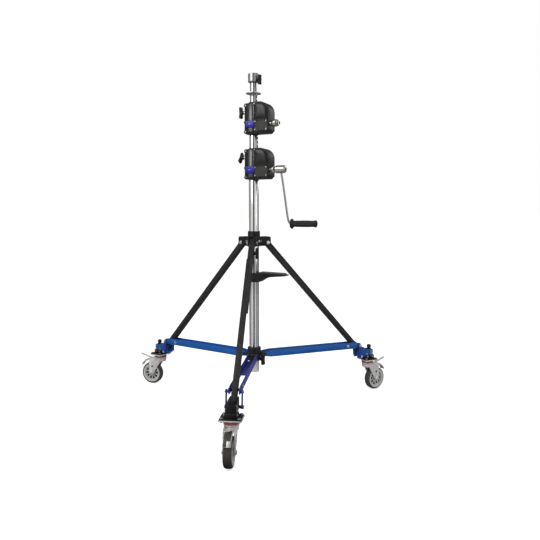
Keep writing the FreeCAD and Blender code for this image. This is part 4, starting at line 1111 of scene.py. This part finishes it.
@dataclass
class Arm:
    """One leg with its brace, links and carrier."""

    side: Side
    brace_tilt: float = 0.0109
    brace_bolts: tuple[tuple[float, float], ...] = ((0.597, 0.266), (0.545, 0.2665))
    link_top: float = 0.617

    def build(self) -> None:
        """Dress the leg tubes, the brace, the carrier and the links."""
        name = self.side.value
        legs = ("front_leg_upper", "front_leg_lower") if self.side is Side.FRONT else (f"{name}_leg",)
        for node in legs:
            refined(node, LEG, 0.0006)
        refined(f"{name}_brace", VIOLET if self.side is Side.FRONT else BLUE, 0.0007)
        refined(f"{name}_caster_carrier", CAST if self.side is Side.FRONT else BLUE, 0.0008)
        self._socket_dress()
        refined(f"{name}_foot_links", VIOLET, 0.0007)
        self._brace_lips()
        self._brace_bolts()
        self._end_plugs()

    def _socket_dress(self) -> None:
        """Black block, flange and bumper knob over the caster, with blue cheek plates and their bolts."""
        name, axis = self.side.value, Vector((0, 1, 0))
        swivel = joint_place(f"{name}_caster_swivel")
        place = arm_place(self.side, math.hypot(swivel.x, swivel.y))
        shell = block((43 * MM, 38 * MM, 53 * MM), (0.5 * MM, 0, 209.5 * MM), 2 * MM)
        base = block((54 * MM, 50 * MM, 21 * MM), (1 * MM, 0, 194.5 * MM), 3 * MM)
        flange = block((75 * MM, 89 * MM, 5.6 * MM), (0, 0, 182.6 * MM), 1.2 * MM)
        bumper = moved(lathe([(0, 0), (0, 12.4 * MM), (4 * MM, 12.4 * MM), (5 * MM, 8 * MM), (8 * MM, 8 * MM),
                              (9.5 * MM, 11.6 * MM), (20 * MM, 11.6 * MM), (23 * MM, 10 * MM),
                              (24.6 * MM, 6 * MM), (24.8 * MM, 0)], 48),
                       facing(Vector((0, 0, 1)), Vector((8 * MM, 0, 235.4 * MM)), axis))
        finish_piece(join(shell, base, flange, bumper), f"{name}_socket_block", f"{name}_foot", KNOB, place,
                     nodes=[f"{name}_caster_socket"])
        cheeks, bolts = [], []
        for s in (-1, 1):
            cheeks.append(block((50 * MM, 3.4 * MM, 32 * MM), (-4 * MM, s * 20.5 * MM, 220 * MM), 1.2 * MM))
            for x, z in ((-20, 212), (8, 212), (8, 228)):
                bolts.append(moved(hex_head(5.0 * MM, 4.2 * MM),
                                   facing(axis * s, Vector((x * MM, s * 22.0 * MM, z * MM)))))
            for x in (-16, 16):
                bolts.append(moved(hex_head(4.6 * MM, 3.6 * MM),
                                   facing(axis * s, Vector((x * MM, s * 25.0 * MM, 196 * MM)))))
        tint = CAST if self.side is Side.FRONT else BLUE
        finish_piece(join(*cheeks), f"{name}_cheek_plates", f"{name}_foot", tint, place)
        finish_piece(join(*bolts), f"{name}_cheek_bolts", f"{name}_foot", SCREW, place)

    def _brace_lips(self) -> None:
        """The floor of the brace's channel runs on as a lip on each side of the slot for the leg."""
        name = self.side.value
        place = arm_place(self.side, 46 * MM, 272 * MM) @ Matrix.Rotation(self.brace_tilt, 4, "Y")
        inner, outer, start, end = 15.4 * MM, 22.6 * MM, 385 * MM, 505 * MM
        lips = [block((end - start, outer - inner, 2.3 * MM),
                      ((start + end) / 2, s * (inner + outer) / 2, -15.8 * MM), 0.5 * MM) for s in (-1, 1)]
        tint = VIOLET if self.side is Side.FRONT else BLUE
        finish_piece(join(*lips), f"{name}_brace_lips", f"{name}_brace", tint, place)

    def _brace_bolts(self) -> None:
        """Bolt heads on the brace's outer end and on the links."""
        name = self.side.value
        axis = Vector(joint(f"{name}_brace_fold")["axis"])
        low_pin = joint_place(f"{name}_link_swing")
        heads = [moved(hex_head(6.8 * MM, 5 * MM), facing(axis * s, low_pin + axis * s * 36.2 * MM))
                 for s in (-1, 1)]
        finish_piece(join(*heads), f"{name}_link_bolt_heads", f"{name}_foot", BRIGHT)
        spots = [arm_place(self.side) @ Vector((reach, 0, level)) for reach, level in self.brace_bolts]
        bolts = [moved(hex_head(6.6 * MM, 4.8 * MM), facing(axis * s, spot + axis * s * 23.1 * MM))
                 for s in (-1, 1) for spot in spots]
        finish_piece(join(*bolts), f"{name}_brace_end_bolts", f"{name}_brace", BRIGHT)
        _, links_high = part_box(f"{name}_foot_links")
        top = arm_place(self.side) @ Vector((self.link_top, 0, links_high.z - 9 * MM))
        caps = [moved(hex_head(6.4 * MM, 4.6 * MM), facing(axis * s, top + axis * s * 35.5 * MM))
                for s in (-1, 1)]
        finish_piece(join(*caps), f"{name}_link_top_bolts", f"{name}_links", BRIGHT)

    def _end_plugs(self) -> None:
        """Moulded plug in the top end of the leg tube."""
        name = self.side.value
        pivot = joint_place(f"{name}_leg_fold")
        foot = joint_place(f"{name}_foot_level")
        along = (pivot - foot).normalized()
        outward = Vector((math.cos(azimuth_of(self.side)), math.sin(azimuth_of(self.side)), 0))
        plug = block((3 * MM, 27 * MM, 27 * MM), (0, 0, 0), 1.2 * MM)
        at = pivot + along * 16 * MM
        if self.side is Side.FRONT:
            _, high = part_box("front_leg_upper")
            at.z = min(at.z, high.z + 1 * MM)
        finish_piece(plug, f"{name}_leg_end_plug", f"{name}_leg", KNOB, facing(along, at, outward))


@dataclass
class Caster:
    """One braked caster: top plate, race and seal, fork, windowed wheel, tyre and pedal."""

    side: Side
    windows: int = 10
    centre: Vector = field(init=False)
    axle: Vector = field(init=False)
    radius: float = field(init=False)

    def __post_init__(self) -> None:
        """Read the wheel's place and size from the frame."""
        spin = joint(f"{self.side.value}_wheel_spin")
        self.centre, self.axle = Vector(spin["pos_m"]), Vector(spin["axis"]).normalized()
        self.radius = self.centre.z

    @property
    def name(self) -> str:
        """Name of the arm the caster is on."""
        return self.side.value

    def _trail_place(self, at: Vector) -> Matrix:
        """Frame whose +X points from the swivel towards the wheel and whose +Y is the axle."""
        swivel = joint_place(f"{self.name}_caster_swivel")
        outward = (self.centre - Vector((swivel.x, swivel.y, self.centre.z))).normalized()
        return facing(outward, at)

    def build(self) -> None:
        """Model the wheel, the fork, the top plate and the pedal."""
        refined(f"{self.name}_caster_fork", ZINC, 0.0009)
        self._tyre()
        self._hub()
        self._pedal()
        self._race()
        self._top_plate()
        self._fork_details()

    def _tyre(self) -> None:
        """Tyre with rounded shoulders, two tread lines and a bead lip."""
        half, inner, r = 18 * MM, 46.2 * MM, self.radius
        outer_half = [(0.0, r - 0.6 * MM), (0.7 * MM, r - 0.6 * MM), (1.1 * MM, r), (7.0 * MM, r - 0.1 * MM),
                      (7.5 * MM, r - 1.0 * MM), (8.4 * MM, r - 1.0 * MM), (8.9 * MM, r - 0.3 * MM),
                      (12.5 * MM, r - 1.3 * MM), (15.5 * MM, r - 3.6 * MM), (17.3 * MM, r - 7.0 * MM),
                      (half, r - 11.0 * MM), (17.2 * MM, inner + 2.5 * MM), (17.6 * MM, inner + 1.2 * MM),
                      (16.6 * MM, inner)]
        mirrored = [(-x, y) for x, y in reversed(outer_half[1:])]
        ring = mirrored + outer_half
        bm = lathe(ring + [ring[0]], 96)
        finish_piece(bm, f"{self.name}_tyre_rubber", f"{self.name}_wheel", TYRE,
                     facing(self.axle, self.centre), nodes=[f"{self.name}_tyre"], sharp=40)

    def _hub(self) -> None:
        """Moulded wheel centre: rim with pale flanges, windows between ten spokes, and a bearing boss; a
        black disc behind the windows paints their shade.
        """
        outer, rim_in, boss, bore = 46 * MM, 40.5 * MM, 15.5 * MM, 6.4 * MM
        half = 16 * MM
        edge = 1.5 * MM
        rim = lathe([(-half, outer), (-half, rim_in + edge), (-half + edge, rim_in), (half - edge, rim_in),
                     (half, rim_in + edge), (half, outer), (-half, outer)], 96)
        centre = lathe([(-half - 1 * MM, bore), (-half - 1 * MM, boss - 2.5 * MM), (-half + 1.5 * MM, boss),
                        (half - 1.5 * MM, boss), (half + 1 * MM, boss - 2.5 * MM), (half + 1 * MM, bore),
                        (-half - 1 * MM, bore)], 48)
        dish = 11 * MM
        hubward = lathe([(-dish, boss - 1 * MM), (-dish, boss + 3.5 * MM), (dish, boss + 3.5 * MM),
                         (dish, boss - 1 * MM), (-dish, boss - 1 * MM)], 64)
        rimward = lathe([(-dish, rim_in - 3 * MM), (-dish, rim_in + 1 * MM), (dish, rim_in + 1 * MM),
                         (dish, rim_in - 3 * MM), (-dish, rim_in - 3 * MM)], 96)
        parts = [rim, centre, hubward, rimward]
        length = rim_in - boss
        for index in range(self.windows):
            spoke = block((dish * 2, 6.4 * MM, length), (0, 0, (rim_in + boss) / 2), 1.6 * MM, 2)
            turn = Matrix.Rotation(FULL_TURN * index / self.windows, 4, "X")
            parts.append(moved(spoke, turn))
        deep, lip = 3.4 * MM, 51.5 * MM
        # Painted shade: a black disc in the wheel's middle plane darkens the windows between the spokes.
        shadow = lathe([(-deep, boss), (-deep, rim_in), (deep, rim_in), (deep, boss), (-deep, boss)], 64)
        finish_piece(shadow, f"{self.name}_wheel_window_shade", f"{self.name}_wheel", KNOB,
                     facing(self.axle, self.centre))
        for sign in (-1, 1):
            flange = lathe([(sign * out * MM, radius) for out, radius in (
                (15.4, rim_in + 1 * MM), (17.6, rim_in + 1.6 * MM), (18.3, lip - 4 * MM), (18.1, lip),
                (15.4, lip), (15.4, rim_in + 1 * MM))], 96)
            parts.append(flange)
        finish_piece(join(*parts), f"{self.name}_wheel_centre", f"{self.name}_wheel", WHEEL,
                     facing(self.axle, self.centre), nodes=[f"{self.name}_wheel_hub"], sharp=35)

    def _pedal(self) -> None:
        """Brake pedal: a pressed lever under a rubber-faced tread with a pale release tab."""
        pin = joint_place(f"{self.name}_pedal_press")
        place = self._trail_place(pin)
        body = f"{self.name}_pedal"
        lever = self._strip([(0, 4.6), (12, 7.2), (46, 16.4), (83, 29.2)], 2.6, 9.0)
        tread = self._strip([(-2, 4.8), (10, 5.0), (30, 1.4), (51, -8.6), (66, -24.0), (72.6, -37.0)],
                            2.6, 17.0)
        bore, outer, half = 3.7 * MM, 6.3 * MM, 17 * MM
        barrel = lathe([(-half, bore), (-half, outer), (half, outer), (half, bore), (-half, bore)], 32)
        moved(barrel, facing(Vector((0, 1, 0)), Vector((0, 0, 0))))
        sides = [block((52 * MM, 2 * MM, 8 * MM), (0, 0, 0), 0.7 * MM) for _ in (0, 1)]
        for sign, wall in zip((-1, 1), sides):
            tilt = Matrix.Rotation(math.radians(19), 4, "Y")
            moved(wall, Matrix.Translation((28 * MM, sign * 16 * MM, -2.6 * MM)) @ tilt)
        finish_piece(join(lever, tread, barrel, *sides), f"{self.name}_pedal_lever", body, LEVER, place,
                     nodes=[f"{self.name}_brake_pedal"], sharp=40)
        pad = self._strip([(14, 5.6), (30, 2.9), (51.5, -6.6), (67.5, -22.8), (73.6, -35.2)], 1.6, 14.6)
        ribs = [self._strip([(x, z), (x + run, z - drop)], 1.0, 12.0)
                for x, z, run, drop in ((22, 6.0, 4, 1.0), (32, 3.6, 4, 1.7), (42, -0.8, 4, 2.1),
                                         (51, -5.0, 3.4, 2.6), (58, -11.8, 3.0, 3.2))]
        finish_piece(join(pad, *ribs), f"{self.name}_tread_rubber", body, PEDAL, place, sharp=40)
        tab = self._strip([(62.5, -17.0), (68.6, -23.4), (75.0, -36.4)], 1.4, 6.6)
        bmesh.ops.translate(tab, vec=(0, 6.5 * MM, 0), verts=tab.verts)
        finish_piece(tab, f"{self.name}_release_tab", body, LEVER, place, sharp=40)

    @staticmethod
    def _strip(line: Sequence[tuple[float, float]], thick: float, half: float) -> Mesh:
        """A bent strip with soft edges, its centre line given in millimetres in the XZ plane.

        Args:
            line: points of the centre line.
            thick: its thickness in millimetres.
            half: half its width in millimetres.

        Returns:
            The mesh.
        """
        path = [Vector((x * MM, 0, z * MM)) for x, z in line]
        if len(path) > 2:
            path = smooth_path(path, 2)
        bm = bmesh.new()
        rings = []
        for index, point in enumerate(path):
            before, after = path[max(index - 1, 0)], path[min(index + 1, len(path) - 1)]
            side = Vector((0, 1, 0)).cross(after - before).normalized() * thick * MM / 2
            wide = Vector((0, half * MM, 0))
            rings.append([bm.verts.new(point + offset) for offset in
                          (side - wide, side + wide, -side + wide, -side - wide)])
        loops = [[bm.edges.new((ring[i], ring[(i + 1) % 4])) for i in range(4)] for ring in rings]
        for near, far in zip(loops, loops[1:]):
            bmesh.ops.bridge_loops(bm, edges=near + far)
        for loop in (loops[0], loops[-1]):
            bmesh.ops.holes_fill(bm, edges=loop, sides=4)
        bmesh.ops.recalc_face_normals(bm, faces=bm.faces)
        bevel(bm, corner_edges(bm, 40), thick * MM * 0.28, 2)
        return bm

    def _race(self) -> None:
        """Pressed bearing race of the fork and the two soft rings above it."""
        swivel = joint_place(f"{self.name}_caster_swivel")
        r = 31 * MM
        up = facing(Vector((0, 0, 1)), Vector((swivel.x, swivel.y, 0)), Vector((0, 1, 0)))
        lip = lathe([(150 * MM, r - 3 * MM), (150 * MM, r + 0.6 * MM), (153 * MM, r + 1.6 * MM),
                     (156.5 * MM, r + 0.8 * MM), (157.4 * MM, r - 3 * MM), (150 * MM, r - 3 * MM)], 64)
        finish_piece(lip, f"{self.name}_race_lip", f"{self.name}_fork", RIM, up)
        rings = []
        for base in (159.0, 167.2):
            foot = base * MM
            rings.append(lathe([(foot + up_by * MM, r + out * MM) for up_by, out in (
                (0, -3), (0, 0), (1.6, 1.9), (5.4, 1.9), (7.0, 0), (7.0, -3), (0, -3))], 64))
        finish_piece(join(*rings), f"{self.name}_swivel_seals", f"{self.name}_foot", SEAL, up)

    def _top_plate(self) -> None:
        """Zinc mounting plate over the race, with the nuts of its four bolts above and below."""
        swivel = joint_place(f"{self.name}_caster_swivel")
        place = arm_place(self.side, math.hypot(swivel.x, swivel.y))
        plate = block((81 * MM, 96 * MM, 5.0 * MM), (0, 0, 177.3 * MM), 1.2 * MM)
        finish_piece(plate, f"{self.name}_top_plate", f"{self.name}_foot", ZINC, place)
        nuts = []
        for x in (-30, 30):
            for y in (-36, 36):
                for level, way in ((185.2, 1), (174.6, -1)):
                    nuts.append(moved(hex_head(6.2 * MM, 4.6 * MM),
                                      facing(Vector((0, 0, way)), Vector((x * MM, y * MM, level * MM)),
                                             Vector((0, 1, 0)))))
        finish_piece(join(*nuts), f"{self.name}_plate_nuts", f"{self.name}_foot", SCREW, place)

    def _fork_details(self) -> None:
        """Lock nuts on the axle, the rolled ridges pressed into the fork's sides, and black discs on them
        painted as the shade of holes.
        """
        seat = self.axle * 24.5 * MM
        heads = [moved(hex_head(8.4 * MM, 6.5 * MM), facing(self.axle * s, self.centre + seat * s))
                 for s in (-1, 1)]
        finish_piece(join(*heads), f"{self.name}_axle_nuts", f"{self.name}_fork", RIM)
        place = self._trail_place(joint_place(f"{self.name}_caster_swivel"))
        ridges, holes = [], []
        for sign in (-1, 1):
            bar = block((46 * MM, 2.4 * MM, 5 * MM), (30 * MM, sign * 24.2 * MM, 128 * MM), 1.1 * MM)
            ridges.append(bar)
            # Painted shade: thin black discs on the fork's sides stand for its holes.
            hole = lathe([(0, 0), (0, 5.6 * MM), (0.5 * MM, 5.6 * MM), (0.5 * MM, 0)], 28)
            at = Vector((46 * MM, sign * 24.3 * MM, 104 * MM))
            holes.append(moved(hole, facing(Vector((0, sign, 0)), at)))
        origin = Matrix.Translation((0, 0, -place.translation.z))
        finish_piece(join(*ridges), f"{self.name}_fork_ridges", f"{self.name}_fork", ZINC, origin @ place)
        finish_piece(join(*holes), f"{self.name}_fork_hole_shades", f"{self.name}_fork", KNOB, origin @ place)


# ---------------------------------------------------------------- studio

@dataclass
class Studio:
    """Pale floor, soft lights and the camera."""

    view_azimuth: float = 27.6
    distance: float = 2.902
    eye_level: float = 0.972
    pan: float = 0.0278
    tilt: float = 0.092
    lens: float = 38.4
    floor_glow: float = 0.62
    room: tuple[tuple[float, float], ...] = (
        (-180, 0.30), (-120, 0.34), (-82, 0.50), (-60, 0.95), (-20, 1.0), (-17, 0.03), (11, 0.03), (14, 1.0),
        (46, 1.0), (56, 0.22), (66, 0.22), (76, 0.60), (100, 0.55), (125, 0.28), (180, 0.30))

    def build(self) -> None:
        """Make the floor, the world, the lights and the camera."""
        self._floor()
        self._world()
        self._lights()
        self._camera()
        bpy.context.scene.view_settings.view_transform = "Standard"

    def _floor(self) -> None:
        """A wide pale floor: it glows white to the camera, and for other rays its colour repeats the room's
        bright and dark screens as a painted reflection.
        """
        bm = bmesh.new()
        bmesh.ops.create_grid(bm, x_segments=1, y_segments=1, size=400.0)
        mesh = bpy.data.meshes.new("studio_floor")
        bm.to_mesh(mesh)
        bm.free()
        floor = bpy.data.objects.new("studio_floor", mesh)
        bpy.context.scene.collection.objects.link(floor)
        paint = bpy.data.materials.new("studio_floor_paint")
        paint.use_nodes = True
        shader = paint.node_tree.nodes["Principled BSDF"]
        tree = paint.node_tree
        path = tree.nodes.new("ShaderNodeLightPath")
        place = tree.nodes.new("ShaderNodeTexCoord")
        # Painted reflection: for rays other than the camera's, the floor takes the room's screen bands, so
        # the tubes mirror them.
        around = self._screens(tree, place.outputs["Object"])
        seen = path.outputs["Is Camera Ray"]
        tree.links.new(Finish._mix(tree, seen, around, (0.93, 0.93, 0.93)), shader.inputs["Base Color"])
        shader.inputs["Roughness"].default_value = 0.9
        shader.inputs["Emission Color"].default_value = (1, 1, 1, 1)
        tree.links.new(math_node(tree, "MULTIPLY", seen, self.floor_glow), shader.inputs["Emission Strength"])
        mesh.materials.append(paint)

    def _screens(self, tree: Tree, way: Socket) -> Socket:
        """Brightness of the room by its bearing from the viewer.

        Args:
            tree: the node tree that gets the nodes.
            way: a direction or a place about the column.

        Returns:
            The colour.
        """
        split = tree.nodes.new("ShaderNodeSeparateXYZ")
        tree.links.new(way, split.inputs["Vector"])
        angle = math_node(tree, "ARCTAN2", split.outputs["Y"], split.outputs["X"])
        turned = math_node(tree, "SUBTRACT", angle, math.radians(self.view_azimuth - 90.0))
        wrapped = tree.nodes.new("ShaderNodeMath")
        wrapped.operation = "WRAP"
        wrapped.inputs[1].default_value, wrapped.inputs[2].default_value = math.pi, -math.pi
        tree.links.new(turned, wrapped.inputs[0])
        share = math_node(tree, "ADD", math_node(tree, "DIVIDE", wrapped.outputs[0], FULL_TURN), 0.5)
        screens = tree.nodes.new("ShaderNodeValToRGB")
        tree.links.new(share, screens.inputs["Fac"])
        stops = screens.color_ramp.elements
        for extra in range(len(self.room) - len(stops)):
            stops.new((extra + 1) / len(self.room))
        for stop, (bearing, level) in zip(stops, self.room):
            stop.position, stop.color = bearing / 360.0 + 0.5, (level, level, level * 1.01, 1.0)
        return screens.outputs["Color"]

    def _world(self) -> None:
        """White surroundings with one dark screen behind the viewer, which the tubes mirror."""
        world = bpy.data.worlds.new("soft_white_room")
        bpy.context.scene.world = world
        world.use_nodes = True
        tree = world.node_tree
        background = tree.nodes["Background"]
        place = tree.nodes.new("ShaderNodeTexCoord")
        split = tree.nodes.new("ShaderNodeSeparateXYZ")
        tree.links.new(place.outputs["Generated"], split.inputs["Vector"])
        around = self._screens(tree, place.outputs["Generated"])
        low_wall = ramp(tree, split.outputs["Z"], -0.5, 0.0)
        grounded = Finish._mix(tree, low_wall, (0.45, 0.45, 0.44), around)
        path = tree.nodes.new("ShaderNodeLightPath")
        seen = Finish._mix(tree, path.outputs["Is Camera Ray"], grounded, (1.0, 1.0, 1.0))
        tree.links.new(seen, background.inputs["Color"])
        background.inputs["Strength"].default_value = 1.0

    def _lights(self) -> None:
        """Two large soft boxes and a low fill."""
        for name, azimuth, height, reach, size, power in (
                ("key_softbox", self.view_azimuth - 50, 2.6, 2.6, 1.6, 34.0),
                ("rim_softbox", self.view_azimuth + 125, 2.2, 2.6, 1.2, 12.0),
                ("fill_softbox", self.view_azimuth + 60, 1.3, 3.0, 1.4, 9.0)):
            angle = math.radians(azimuth)
            at = Vector((math.sin(angle) * reach, -math.cos(angle) * reach, height))
            data = bpy.data.lights.new(name, "AREA")
            data.size, data.energy = size, power
            lamp = bpy.data.objects.new(name, data)
            bpy.context.scene.collection.objects.link(lamp)
            lamp.location = at
            lamp.rotation_euler = (Vector((0, 0, 0.8)) - at).to_track_quat("-Z", "Y").to_euler()

    def _camera(self) -> None:
        """Camera at eye level, panned a little so that the column stands left of the middle."""
        angle = math.radians(self.view_azimuth)
        right = Vector((math.cos(angle), math.sin(angle), 0))
        away = Vector((-math.sin(angle), math.cos(angle), 0))
        data = bpy.data.cameras.new("studio_camera")
        data.lens, data.sensor_width = self.lens, 36.0
        camera = bpy.data.objects.new("studio_camera", data)
        bpy.context.scene.collection.objects.link(camera)
        camera.location = away * -self.distance + Vector((0, 0, self.eye_level))
        level = right * math.sin(self.pan) + away * math.cos(self.pan)
        look = level * math.cos(self.tilt) - Vector((0, 0, math.sin(self.tilt)))
        camera.rotation_euler = look.to_track_quat("-Z", "Y").to_euler()
        bpy.context.scene.camera = camera


def main() -> None:
    """Build the stand from the top down, then the studio."""
    logging.basicConfig(level=logging.INFO)
    Column().build()
    Gearbox(Stage.UPPER, "middle_riser").build()
    Gearbox(Stage.LOWER, "column").build()
    Crank().build()
    WingKnob("socket_lock_knob", "socket_knob_turn", 37 * MM, start=15.2 * MM, span=0.84).build()
    WingKnob("upper_lock_knob", "upper_knob_turn", 14 * MM, start=-31 * MM).build()
    WingKnob("lower_lock_knob", "lower_knob_turn", 14 * MM, 35, start=-27.5 * MM).build()
    WingKnob("levelling_knob", "levelling_knob_turn", 23 * MM, start=3.2 * MM).build()
    WingKnob("collar_lock_knob", "collar_knob_turn", 49.6 * MM, start=26 * MM).build()
    LegCollar().build()
    Shelf().build()
    refined("brace_collar", CAST, 0.0012)
    for side in Side:
        Arm(side).build()
        Caster(side).build()
    Studio().build()


if __name__ == "__main__":
    main()
